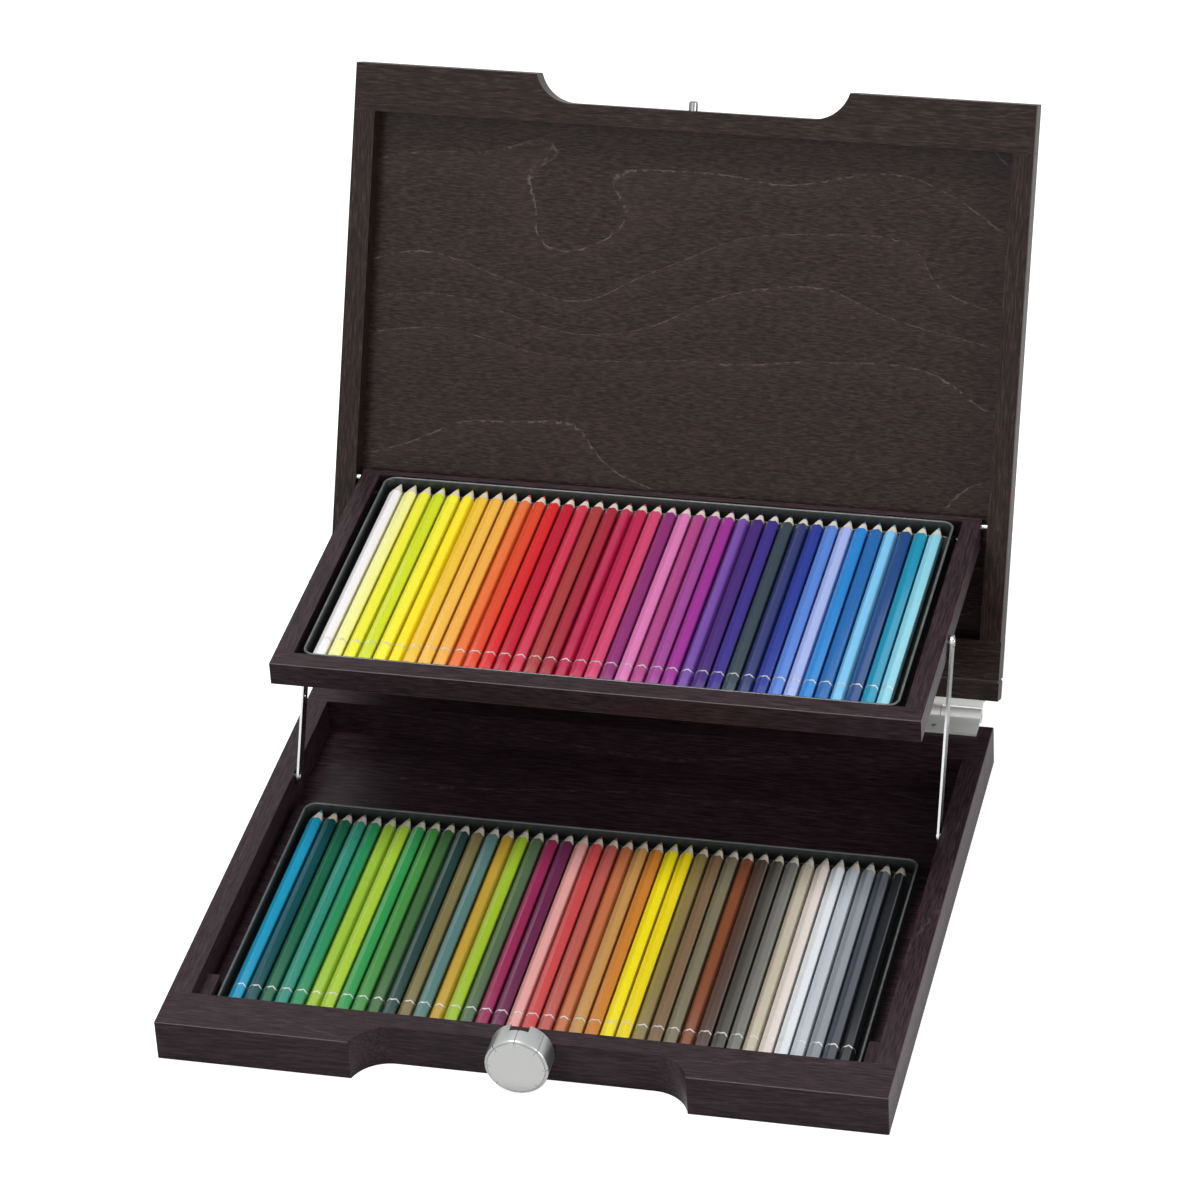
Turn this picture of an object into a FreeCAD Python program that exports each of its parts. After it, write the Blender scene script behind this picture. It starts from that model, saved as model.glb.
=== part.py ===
import FreeCAD, Part
import math
import os

# A shallow wooden case for coloured pencils. The hinged lid carries the rear end of a
# second tray, and a pair of steel links carries its middle, so the tray lifts forward
# and stays level as the lid opens. A turning knob on the front holds the lid shut.
# X runs along the front, Y goes back and Z goes up. The origin is the centre of the
# underside. Every piece is drawn with the case shut, and the moving ones are then
# carried to the open position.

Vector = FreeCAD.Vector
axis_x = Vector(1, 0, 0)
axis_y = Vector(0, 1, 0)

# Case
case_width = 380.0
case_depth = 325.0
base_height = 23.5
lid_height = 15.5
seam_gap = 0.3
side_rail_width = 12.0
front_rail_width = 26.5
base_rear_rail_width = 32.0
lid_rear_rail_width = 33.0
floor_thickness = 3.5
panel_thickness = 3.0
rabbet_width = 5.0
edge_ease = 0.6
open_angle = 117.0

# Finger cut-out that both front rails share
cutout_width = 175.0
cutout_depth = 15.5
cutout_arc_radius = 21.0

# Loose tenons that join the rails at the corners
tenon_width = 5.0
tenon_thickness = 4.0
tenon_length = 24.0

# Hinges
hinge_length = 66.0
hinge_end_inset = 8.1
hinge_set_back = 8.4
hinge_rail_width = 10.7
hinge_rail_step = 1.6
groove_chamfer = 0.9
leaf_thickness = 1.5
base_leaf_reach = 10.2
lid_leaf_height = 11.0
lid_leaf_rise = 2.1
knuckle_radius = 3.85
knuckle_gap = 0.3
hinge_pin_radius = 1.6

# Tray and its linkage
arm_reach = 103.2
pivot_rise = 2.7
pivot_height = 10.2
tray_rear_margin = 4.0
tray_height = 13.2
tray_side_gap = 3.4
tray_side_rail_width = 10.3
tray_front_rail_width = 11.8
tray_rear_rail_width = 4.5
tray_ledge_width = 5.0
tray_ledge_height = 1.5
tray_floor_thickness = 1.5
link_setback = 105.5
link_drop = 5.7
link_width = 9.0
link_thickness = 1.2
link_stud_radius = 1.75
link_stud_height = 0.5
link_stud_share = 0.43
pin_radius = 1.5
pin_head_radius = 2.4
pin_head_height = 0.5
pin_embed = 6.0
tray_bore_depth = 7.0
end_play = 0.4

# Rest blocks in the front corners
block_width = 7.3
block_length = 26.5

# Fits
running_clearance = 0.06
open_pivot_clearance = 0.2
side_play = 0.05
rest_clearance = 0.3
overrun = 1.0

# Knob and catch
knob_radius = 16.6
knob_length = 14.9
knob_height = 18.5
knob_back_gap = 0.6
knob_chamfer = 1.1
knob_cap_radius = 14.0
knob_cap_thickness = 1.8
knob_cap_proud = 0.25
knob_head_pocket_radius = 5.4
knob_screw_head_radius = 4.8
knob_screw_head_height = 2.2
knob_shoulder_radius = 3.0
knob_thread_radius = 2.0
knob_thread_length = 8.0
knob_boss_radius = 9.2
knob_groove_radius = 15.2
knob_groove_depth = 5.5
knob_slot_width = 10.0
catch_pin_radius = 2.5
catch_pin_reach = 5.4
catch_pin_height = 7.0
catch_pin_dome = 0.8
catch_shank_radius = 1.5
catch_shank_length = 8.0

# Tins and pencils
pencil_length = 175.0
pencil_pitch = 8.2
pencil_gap = 0.05
pencil_cone_length = 12.5
pencil_tip_radius = 0.5
pencil_sides = 6
tin_depth = 10.0
tin_wall = 0.6
tin_corner_radius = 7.0
tin_rim_overhang = 0.9
tin_rim_height = 1.3
tin_end_gap = 0.5
tin_side_gap = 1.5
tin_clearance = 0.3
upper_tin_side_gap = 3.7
lower_tin_side_gap = 9.2
lower_tin_front_gap = 7.5
liner_thickness = 1.2
liner_clearance = 0.3
liner_rear_gap = 6.5

# Colour families of the pencils and the share of the row, from the left, at which each ends
upper_families = ("yellow", "red", "violet", "blue")
upper_end_shares = (0.29, 0.50, 0.763, 1.0)
lower_families = ("green", "brown", "earth", "grey")
lower_end_shares = (0.40, 0.60, 0.85, 1.0)

# Places that follow from the sizes above
half_width = case_width / 2
front_y = -case_depth / 2
rear_y = case_depth / 2
pocket_half_width = half_width - side_rail_width
pocket_front_y = front_y + front_rail_width
base_pocket_rear_y = rear_y - base_rear_rail_width
lid_pocket_rear_y = rear_y - lid_rear_rail_width
lid_bottom_z = base_height + seam_gap
lid_top_z = lid_bottom_z + lid_height
recess_face_y = front_y + cutout_depth

hinge_y = rear_y + hinge_set_back
hinge_z = base_height + leaf_thickness / 2
pivot_y = hinge_y - arm_reach
pivot_z = lid_bottom_z + pivot_rise
link_tray_y = pivot_y - link_setback
link_tray_z = pivot_z - link_drop
link_base_y = hinge_y - link_setback
link_base_z = hinge_z - link_drop

tray_bottom_z = pivot_z - pivot_height
tray_top_z = tray_bottom_z + tray_height
tray_half_width = pocket_half_width - tray_side_gap
tray_inner_half_width = tray_half_width - tray_side_rail_width
tray_rear_y = pivot_y + tray_rear_margin
tray_inner_rear_y = tray_rear_y - tray_rear_rail_width
tray_floor_top_z = tray_bottom_z + tray_ledge_height + tray_floor_thickness

tin_shell = tin_wall + tin_rim_overhang
tin_length = pencil_length + 2 * (tin_end_gap + tin_shell)
tray_inner_front_y = tray_inner_rear_y - tin_length - 2 * tin_clearance
tray_front_y = tray_inner_front_y - tray_front_rail_width

link_inner_x = tray_half_width + (tray_side_gap - link_thickness) / 2
link_outer_x = link_inner_x + link_thickness

upper_tin_half_width = tray_inner_half_width - upper_tin_side_gap
lower_tin_half_width = pocket_half_width - lower_tin_side_gap


def box(x0, x1, y0, y1, z0, z1):
    return Part.makeBox(x1 - x0, y1 - y0, z1 - z0, Vector(x0, y0, z0))


def rod(start, direction, radius, length):
    return Part.makeCylinder(radius, length, start, direction)


def mirrored(shape):
    return shape.mirror(Vector(0, 0, 0), axis_x)


def both_sides(shape):
    return [shape, mirrored(shape)]


def ease_edges(shape, radius, wanted):
    edges = [edge for edge in shape.Edges if wanted(edge)]
    return shape.makeFillet(radius, edges) if edges else shape


def near(value, target):
    return abs(value - target) < tin_wall / 10


def edge_on_plane(edge, axis, value):
    return all(near(getattr(vertex, axis), value) for vertex in edge.Vertexes)


def is_straight(edge):
    return isinstance(edge.Curve, Part.Line)


def open_lid_shape(shape):
    opened = shape.copy()
    opened.rotate(Vector(0, hinge_y, hinge_z), axis_x, -open_angle)
    return opened


def opened_offset():
    pivot = Vector(0, pivot_y, pivot_z)
    start = Part.Vertex(pivot)
    start.rotate(Vector(0, hinge_y, hinge_z), axis_x, -open_angle)
    return start.Point - pivot


def open_tray_shape(shape):
    opened = shape.copy()
    opened.translate(opened_offset())
    return opened


def open_link_shape(shape):
    opened = shape.copy()
    opened.rotate(Vector(0, link_base_y, link_base_z), axis_x, -open_angle)
    return opened


# Finger cut-out, a straight recess that runs out to the front face in two arcs
def cutout_solid(z0, z1):
    arc_angle = math.acos(1 - cutout_depth / cutout_arc_radius)
    arc_run = cutout_arc_radius * math.sin(arc_angle)
    outer_x = cutout_width / 2
    inner_x = outer_x - arc_run
    centre_y = recess_face_y - cutout_arc_radius

    def arc_point(share, side):
        angle = arc_angle * share
        x = inner_x + cutout_arc_radius * math.sin(angle)
        y = centre_y + cutout_arc_radius * math.cos(angle)
        return Vector(side * x, y, z0)

    left_arc = Part.Arc(arc_point(1, -1), arc_point(0.5, -1), arc_point(0, -1)).toShape()
    right_arc = Part.Arc(arc_point(0, 1), arc_point(0.5, 1), arc_point(1, 1)).toShape()
    back = Part.makeLine(arc_point(0, -1), arc_point(0, 1))
    lip = front_y - overrun
    outline = [
        left_arc,
        back,
        right_arc,
        Part.makeLine(arc_point(1, 1), Vector(outer_x, lip, z0)),
        Part.makeLine(Vector(outer_x, lip, z0), Vector(-outer_x, lip, z0)),
        Part.makeLine(Vector(-outer_x, lip, z0), arc_point(1, -1)),
    ]
    return Part.Face(Part.Wire(outline)).extrude(Vector(0, 0, z1 - z0))


def tenon_solids(z, rear_inner_y):
    x = half_width - side_rail_width / 2
    tenons = []
    for joint_y in (pocket_front_y, rear_inner_y):
        tenons += both_sides(box(
            x - tenon_width / 2, x + tenon_width / 2,
            joint_y - tenon_length / 2, joint_y + tenon_length / 2,
            z - tenon_thickness / 2, z + tenon_thickness / 2))
    return tenons


def outside_edge(edge):
    faces_y = (front_y, rear_y)
    ends = any(edge_on_plane(edge, "X", side * half_width) for side in (-1, 1))
    return is_straight(edge) and (ends or any(edge_on_plane(edge, "Y", y) for y in faces_y))


# Base: four rails round a thin floor that is let in from below
def base_rails():
    rear_inner_y = base_pocket_rear_y
    floor_space = box(
        -pocket_half_width - rabbet_width, pocket_half_width + rabbet_width,
        pocket_front_y - rabbet_width, rear_inner_y + rabbet_width,
        0, floor_thickness)
    front = box(-half_width, half_width, front_y, pocket_front_y, 0, base_height)
    front = ease_edges(front, edge_ease, outside_edge)
    front = front.cut(cutout_solid(-overrun, base_height + overrun))
    front = front.cut(rod(
        Vector(0, recess_face_y - overrun, knob_height), axis_y,
        knob_thread_radius, knob_thread_length + overrun))
    rear = box(-half_width, half_width, rear_inner_y, rear_y, 0, base_height)
    rear = ease_edges(rear, edge_ease, outside_edge)
    right = box(pocket_half_width, half_width, pocket_front_y, rear_inner_y, 0, base_height)
    right = ease_edges(right, edge_ease, lambda edge: edge_on_plane(edge, "X", half_width)
                       and edge.Length > base_height)
    right = right.cut(rod(
        Vector(pocket_half_width - overrun, link_base_y, link_base_z), axis_x,
        pin_radius, pin_embed + overrun))
    left = mirrored(right)
    rails = {"base_front_rail": front, "base_rear_rail": rear,
             "base_left_rail": left, "base_right_rail": right}
    tenons = Part.makeCompound(tenon_solids((floor_thickness + base_height) / 2, rear_inner_y))
    for name in rails:
        rails[name] = rails[name].cut(floor_space).cut(tenons)
    rails["base_tenons"] = tenons
    rails["base_floor"] = floor_space
    return rails


def rest_blocks():
    top_z = tray_bottom_z - rest_clearance
    block = box(
        pocket_half_width - block_width, pocket_half_width,
        pocket_front_y, pocket_front_y + block_length, floor_thickness, top_z)
    return both_sides(block)


# Lid: three rails and a two-piece rear rail round a panel that is let in from above
def lid_rails():
    rear_inner_y = lid_pocket_rear_y
    groove_y = rear_y - hinge_rail_width
    panel_z = lid_top_z - panel_thickness
    panel = box(
        -pocket_half_width - rabbet_width, pocket_half_width + rabbet_width,
        pocket_front_y - rabbet_width, rear_inner_y + rabbet_width, panel_z, lid_top_z)
    front = box(-half_width, half_width, front_y, pocket_front_y, lid_bottom_z, lid_top_z)
    front = ease_edges(front, edge_ease, outside_edge)
    front = front.cut(cutout_solid(lid_bottom_z - overrun, lid_top_z + overrun))
    front = front.cut(rod(
        Vector(0, recess_face_y - overrun, lid_bottom_z + catch_pin_height), axis_y,
        catch_shank_radius, catch_shank_length + overrun))
    rear = box(-half_width, half_width, rear_inner_y, groove_y, lid_bottom_z, lid_top_z)
    rear = rear.makeChamfer(groove_chamfer, groove_edges(rear, groove_y, lid_bottom_z))
    hinge = box(-half_width, half_width, groove_y, rear_y,
                lid_bottom_z + hinge_rail_step, lid_top_z)
    hinge = hinge.makeChamfer(
        groove_chamfer, groove_edges(hinge, groove_y, lid_bottom_z + hinge_rail_step)
        + [edge for edge in hinge.Edges
           if edge_on_plane(edge, "Y", rear_y) and edge_on_plane(edge, "Z", lid_top_z)])
    right = box(pocket_half_width, half_width, pocket_front_y, rear_inner_y,
                lid_bottom_z, lid_top_z)
    right = ease_edges(right, edge_ease, lambda edge: edge_on_plane(edge, "X", half_width)
                       and edge.Length > lid_height)
    right = right.cut(rod(
        Vector(pocket_half_width - overrun, pivot_y, pivot_z), axis_x,
        pin_radius, pin_embed + overrun))
    left = mirrored(right)
    rails = {"lid_front_rail": front, "lid_rear_rail": rear,
             "lid_left_rail": left, "lid_right_rail": right}
    tenons = Part.makeCompound(tenon_solids((lid_bottom_z + panel_z) / 2, rear_inner_y))
    for name in rails:
        rails[name] = rails[name].cut(panel).cut(tenons)
    rails["lid_hinge_rail"] = hinge
    rails["lid_tenons"] = tenons
    rails["lid_panel"] = panel
    return rails


def groove_edges(shape, groove_y, low_z):
    low = [edge for edge in shape.Edges
           if edge_on_plane(edge, "Y", groove_y) and edge_on_plane(edge, "Z", low_z)]
    ends = [edge for edge in shape.Edges if edge_on_plane(edge, "Y", groove_y)
            and any(edge_on_plane(edge, "X", side * half_width) for side in (-1, 1))]
    return low + ends


# Hinges: the base leaf lies on the rear rail, the lid leaf turns up behind the lid
def hinge_ends():
    outer_x = half_width - hinge_end_inset
    return outer_x - hinge_length, outer_x


def knuckle_spans():
    inner_x, outer_x = hinge_ends()
    third = hinge_length / 3
    return (inner_x, inner_x + third), (inner_x + third, outer_x - third), (outer_x - third, outer_x)


def knuckle(span, trim):
    x0, x1 = span
    return rod(Vector(x0 + trim, hinge_y, hinge_z), axis_x, knuckle_radius, x1 - x0 - 2 * trim)


def base_leaves():
    inner_x, outer_x = hinge_ends()
    first, middle, last = knuckle_spans()
    leaf = box(inner_x, outer_x, rear_y - base_leaf_reach, hinge_y,
               base_height, base_height + leaf_thickness)
    leaf = leaf.cut(box(
        middle[0] - knuckle_gap / 2, middle[1] + knuckle_gap / 2,
        hinge_y - knuckle_radius - knuckle_gap, hinge_y + overrun,
        base_height - overrun, base_height + leaf_thickness + overrun))
    for span in (first, last):
        leaf = leaf.fuse(knuckle(span, 0))
    leaf = leaf.cut(hinge_pin())
    return both_sides(leaf.removeSplitter())


def lid_leaves():
    inner_x, outer_x = hinge_ends()
    middle = knuckle_spans()[1]
    low_z = lid_bottom_z + lid_leaf_rise
    upright = box(inner_x, outer_x, rear_y, rear_y + leaf_thickness,
                  low_z, low_z + lid_leaf_height)
    shelf_y = hinge_y - knuckle_radius - knuckle_gap
    shelf = box(inner_x, outer_x, rear_y, shelf_y, low_z, low_z + leaf_thickness)
    bridge = box(middle[0] + knuckle_gap, middle[1] - knuckle_gap,
                 shelf_y - leaf_thickness, hinge_y, low_z, low_z + leaf_thickness)
    leaf = upright.fuse(shelf).fuse(bridge).fuse(knuckle(middle, knuckle_gap))
    bore = rod(Vector(middle[0] - overrun, hinge_y, hinge_z), axis_x,
               hinge_pin_radius + running_clearance, middle[1] - middle[0] + 2 * overrun)
    leaf = leaf.cut(bore)
    return both_sides(leaf.removeSplitter())


def hinge_pin():
    inner_x, outer_x = hinge_ends()
    return rod(Vector(inner_x, hinge_y, hinge_z), axis_x, hinge_pin_radius, outer_x - inner_x)


# Tray: a frame with a ledge all round that carries a thin floor
def tray_rails():
    ledge_z = tray_bottom_z + tray_ledge_height
    inner_x = tray_inner_half_width
    front = box(-tray_half_width, tray_half_width, tray_front_y, tray_inner_front_y,
                tray_bottom_z, tray_top_z)
    front = front.fuse(box(
        -inner_x + tray_ledge_width, inner_x - tray_ledge_width,
        tray_inner_front_y, tray_inner_front_y + tray_ledge_width, tray_bottom_z, ledge_z))
    rear = box(-tray_half_width, tray_half_width, tray_inner_rear_y, tray_rear_y,
               tray_bottom_z, tray_top_z)
    rear = rear.fuse(box(
        -inner_x + tray_ledge_width, inner_x - tray_ledge_width,
        tray_inner_rear_y - tray_ledge_width, tray_inner_rear_y, tray_bottom_z, ledge_z))
    right = box(inner_x, tray_half_width, tray_inner_front_y, tray_inner_rear_y,
                tray_bottom_z, tray_top_z)
    right = right.fuse(box(
        inner_x - tray_ledge_width, inner_x, tray_inner_front_y, tray_inner_rear_y,
        tray_bottom_z, ledge_z))
    right = right.cut(rod(
        Vector(tray_half_width + overrun, link_tray_y, link_tray_z), -axis_x,
        pin_radius, pin_embed + overrun))
    bore = rod(Vector(tray_half_width + overrun, pivot_y, pivot_z), -axis_x,
               pin_radius + running_clearance, tray_bore_depth + overrun)
    bores = Part.makeCompound(both_sides(bore))
    floor = box(-inner_x, inner_x, tray_inner_front_y, tray_inner_rear_y,
                ledge_z, tray_floor_top_z)
    rails = {"tray_front_rail": front, "tray_rear_rail": rear,
             "tray_left_rail": mirrored(right), "tray_right_rail": right}
    for name in rails:
        rails[name] = rails[name].cut(bores).removeSplitter()
    for name in ("tray_front_rail", "tray_rear_rail"):
        rails[name] = ease_edges(rails[name], edge_ease, tray_outside_edge)
    rails["tray_floor"] = floor
    return rails


def tray_outside_edge(edge):
    long_edge = edge.Length > tray_half_width
    outside = any(edge_on_plane(edge, "Y", y) for y in (tray_front_y, tray_rear_y))
    return is_straight(edge) and long_edge and outside


# Links and the pins that carry them
def link_shape():
    reach = math.hypot(link_tray_y - link_base_y, link_tray_z - link_base_z)
    half = link_width / 2
    slope = math.degrees(math.atan2(link_tray_z - link_base_z, link_base_y - link_tray_y))
    x = link_inner_x
    top_line = Part.makeLine(Vector(x, 0, half), Vector(x, -reach, half))
    end_arc = Part.Arc(Vector(x, -reach, half), Vector(x, -reach - half, 0),
                       Vector(x, -reach, -half)).toShape()
    low_line = Part.makeLine(Vector(x, -reach, -half), Vector(x, 0, -half))
    start_arc = Part.Arc(Vector(x, 0, -half), Vector(x, half, 0), Vector(x, 0, half)).toShape()
    strip = Part.Face(Part.Wire([top_line, end_arc, low_line, start_arc]))
    strip = strip.extrude(Vector(link_thickness, 0, 0))
    stud = Part.makeCone(link_stud_radius, link_stud_radius - link_stud_height,
                         link_stud_height, Vector(x, -reach * link_stud_share, 0), -axis_x)
    base_hole = rod(Vector(x - overrun, 0, 0), axis_x,
                    pin_radius + running_clearance, link_thickness + 2 * overrun)
    tray_hole = rod(Vector(x - overrun, -reach, 0), axis_x,
                    pin_radius + open_pivot_clearance, link_thickness + 2 * overrun)
    link = strip.fuse(stud).cut(base_hole).cut(tray_hole).removeSplitter()
    link.rotate(Vector(0, 0, 0), axis_x, -slope)
    link.translate(Vector(0, link_base_y, link_base_z))
    return link


# A pin stands in the wood, passes through the link and ends in a head that keeps it on
def headed_pin(y, z, wood_x, link_far_x):
    outward = 1 if link_far_x > wood_x else -1
    direction = Vector(outward, 0, 0)
    head_start = link_far_x + outward * side_play
    shank = rod(Vector(wood_x - outward * pin_embed, y, z), direction,
                pin_radius, abs(head_start - wood_x) + pin_embed)
    head = rod(Vector(head_start, y, z), direction, pin_head_radius, pin_head_height)
    return shank.fuse(head).removeSplitter()


def link_base_pins():
    return both_sides(headed_pin(link_base_y, link_base_z, pocket_half_width, link_inner_x))


def link_tray_pins():
    return both_sides(headed_pin(link_tray_y, link_tray_z, tray_half_width, link_outer_x))


def tray_pivot_pins():
    inner_x = tray_half_width - tray_bore_depth + end_play
    outer_x = pocket_half_width + pin_embed
    return both_sides(rod(Vector(inner_x, pivot_y, pivot_z), axis_x,
                          pin_radius, outer_x - inner_x))


# Knob: a turned cap with a ring groove behind it, open at the top for the catch pin
def knob_back_y():
    return recess_face_y - knob_back_gap


def knob_front_y():
    return knob_back_y() - knob_length


def knob_turned(points):
    outline = [Vector(radius, y, knob_height) for radius, y in points]
    face = Part.Face(Part.makePolygon(outline + [outline[0]]))
    return face.revolve(Vector(0, 0, knob_height), axis_y, 360)


def knob_web_front_y():
    return knob_front_y() + knob_cap_thickness + knob_screw_head_height + 2 * end_play


def knob_body():
    front = knob_front_y()
    back = knob_back_y()
    cap_seat = front + knob_cap_thickness
    body = knob_turned([
        (knob_shoulder_radius + running_clearance, back),
        (knob_boss_radius, back),
        (knob_boss_radius, back - knob_groove_depth),
        (knob_groove_radius, back - knob_groove_depth),
        (knob_groove_radius, back),
        (knob_radius, back),
        (knob_radius, front + knob_chamfer),
        (knob_radius - knob_chamfer, front),
        (knob_cap_radius, front),
        (knob_cap_radius, cap_seat),
        (knob_head_pocket_radius, cap_seat),
        (knob_head_pocket_radius, knob_web_front_y()),
        (knob_shoulder_radius + running_clearance, knob_web_front_y()),
    ])
    slot_top = knob_height + knob_radius + overrun
    body = body.cut(box(
        -knob_slot_width / 2, knob_slot_width / 2, back - knob_groove_depth, back + overrun,
        knob_height + knob_boss_radius + (knob_groove_radius - knob_boss_radius) / 2, slot_top))
    return body


def knob_cap():
    front = knob_front_y()
    face_y = front - knob_cap_proud
    edge = knob_cap_radius - knob_cap_proud
    return knob_turned([
        (0, front + knob_cap_thickness), (knob_cap_radius, front + knob_cap_thickness),
        (knob_cap_radius, front), (edge, face_y), (0, face_y)])


def knob_screw():
    head_back = knob_web_front_y() - side_play
    return knob_turned([
        (0, head_back - knob_screw_head_height),
        (knob_screw_head_radius, head_back - knob_screw_head_height),
        (knob_screw_head_radius, head_back),
        (knob_shoulder_radius, head_back),
        (knob_shoulder_radius, recess_face_y),
        (knob_thread_radius, recess_face_y),
        (knob_thread_radius, recess_face_y + knob_thread_length),
        (0, recess_face_y + knob_thread_length)])


def catch_pin():
    centre = Vector(0, recess_face_y, lid_bottom_z + catch_pin_height)
    pin = rod(centre, -axis_y, catch_pin_radius, catch_pin_reach)
    tip_y = recess_face_y - catch_pin_reach
    pin = pin.makeChamfer(catch_pin_dome, [
        edge for edge in pin.Edges if near(edge.BoundBox.YMin, tip_y)
        and near(edge.BoundBox.YMax, tip_y)])
    shank = rod(centre, axis_y, catch_shank_radius, catch_shank_length)
    return pin.fuse(shank).removeSplitter()


# Tins: folded sheet boxes with round corners and a rolled rim
def rounded_plate(half_x, y0, y1, radius, z0, z1):
    plate = box(-half_x, half_x, y0, y1, z0, z1)
    uprights = [edge for edge in plate.Edges if near(edge.BoundBox.ZLength, z1 - z0)
                and near(edge.Length, z1 - z0)]
    return plate.makeFillet(radius, uprights)


def tin(half_x, y0, z0):
    y1 = y0 + tin_length
    top_z = z0 + tin_depth
    out = tin_rim_overhang
    body = rounded_plate(half_x - out, y0 + out, y1 - out, tin_corner_radius - out, z0, top_z)
    rim = rounded_plate(half_x, y0, y1, tin_corner_radius, top_z - tin_rim_height, top_z)
    inside = rounded_plate(half_x - tin_shell, y0 + tin_shell, y1 - tin_shell,
                           tin_corner_radius - tin_shell, z0 + tin_wall, top_z + overrun)
    return body.fuse(rim).cut(inside).removeSplitter()


def liner(tin_half_x, y0, z0):
    inset = tin_shell + liner_clearance
    half_x = tin_half_x - inset - tin_corner_radius
    return box(-half_x, half_x, y0 + inset, y0 + tin_length - tin_shell - liner_rear_gap,
               z0 + tin_wall, z0 + tin_wall + liner_thickness)


def hexagon_ring(radius, x, y, z):
    ring = []
    for index in range(pencil_sides):
        angle = 2 * math.pi * index / pencil_sides
        ring.append(Vector(x + radius * math.cos(angle), y, z + radius * math.sin(angle)))
    return ring


# A solid with flat sides through several rings that have as many corners each
def solid_through(rings):
    faces = [Part.Face(Part.makePolygon(ring + [ring[0]])) for ring in (rings[0], rings[-1])]
    for near_ring, far_ring in zip(rings, rings[1:]):
        for index in range(len(near_ring)):
            a, b = near_ring[index - 1], near_ring[index]
            c, d = far_ring[index], far_ring[index - 1]
            faces.append(Part.Face(Part.makePolygon([a, b, c, d, a])))
    shell = Part.makeShell(faces)
    shell.sewShape()
    return Part.makeSolid(shell)


# Pencils: hexagonal barrels that lie on a flat, with a long taper at the rear end
def pencil(x, y0, z_rest):
    corner = (pencil_pitch - pencil_gap) / 2
    centre_z = z_rest + corner * math.cos(math.pi / pencil_sides)
    return solid_through([
        hexagon_ring(corner, x, y0, centre_z),
        hexagon_ring(corner, x, y0 + pencil_length - pencil_cone_length, centre_z),
        hexagon_ring(pencil_tip_radius, x, y0 + pencil_length, centre_z),
    ])


def pencil_row(prefix, families, end_shares, tin_half_x, tin_y0, tin_z0):
    count = int((2 * (tin_half_x - tin_shell - tin_side_gap)) // pencil_pitch)
    z_rest = tin_z0 + tin_wall + liner_thickness
    y0 = tin_y0 + tin_shell + tin_end_gap
    row = [pencil((place - (count - 1) / 2) * pencil_pitch, y0, z_rest) for place in range(count)]
    groups = {}
    first = 0
    for family, end_share in zip(families, end_shares):
        last = round(end_share * count)
        groups[prefix + "_pencils_" + family] = Part.makeCompound(row[first:last])
        first = last
    return groups


def build():
    nodes = {}
    nodes.update(base_rails())
    nodes["tray_rest_blocks"] = Part.makeCompound(rest_blocks())
    nodes["hinge_base_leaves"] = Part.makeCompound(base_leaves())
    nodes["hinge_pins"] = Part.makeCompound(both_sides(hinge_pin()))
    nodes["link_base_pins"] = Part.makeCompound(link_base_pins())
    nodes["knob_screw"] = knob_screw()
    nodes["knob_body"] = knob_body()
    nodes["knob_cap"] = knob_cap()

    lower_y0 = pocket_front_y + lower_tin_front_gap
    nodes["lower_tin"] = tin(lower_tin_half_width, lower_y0, floor_thickness)
    nodes["lower_liner"] = liner(lower_tin_half_width, lower_y0, floor_thickness)
    nodes.update(pencil_row("lower", lower_families, lower_end_shares, lower_tin_half_width,
                            lower_y0, floor_thickness))

    lid_nodes = lid_rails()
    lid_nodes["hinge_lid_leaves"] = Part.makeCompound(lid_leaves())
    lid_nodes["catch_pin"] = catch_pin()
    lid_nodes["tray_pivot_pins"] = Part.makeCompound(tray_pivot_pins())
    for name, shape in lid_nodes.items():
        nodes[name] = open_lid_shape(shape)

    tray_nodes = tray_rails()
    tray_nodes["link_tray_pins"] = Part.makeCompound(link_tray_pins())
    upper_y0 = tray_inner_front_y + tin_clearance
    tray_nodes["upper_tin"] = tin(upper_tin_half_width, upper_y0, tray_floor_top_z)
    tray_nodes["upper_liner"] = liner(upper_tin_half_width, upper_y0, tray_floor_top_z)
    tray_nodes.update(pencil_row("upper", upper_families, upper_end_shares, upper_tin_half_width,
                                 upper_y0, tray_floor_top_z))
    for name, shape in tray_nodes.items():
        nodes[name] = open_tray_shape(shape)

    right_link = open_link_shape(link_shape())
    nodes["right_link"] = right_link
    nodes["left_link"] = mirrored(right_link)
    return nodes


os.makedirs("parts", exist_ok=True)
for name, shape in sorted(build().items()):
    shape.exportStep(os.path.join("parts", name + ".step"))
    print(name, len(shape.Solids), "solids", round(shape.Volume, 1), "mm3", shape.isValid())
opened = opened_offset()
print("open tray pivot", round(pivot_y + opened.y, 3), round(pivot_z + opened.z, 3))
print("hinge axis", hinge_y, hinge_z)
print("link pivot on base", link_base_y, link_base_z)
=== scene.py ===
import math

import bmesh
import bpy
from mathutils import Matrix, Vector


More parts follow.
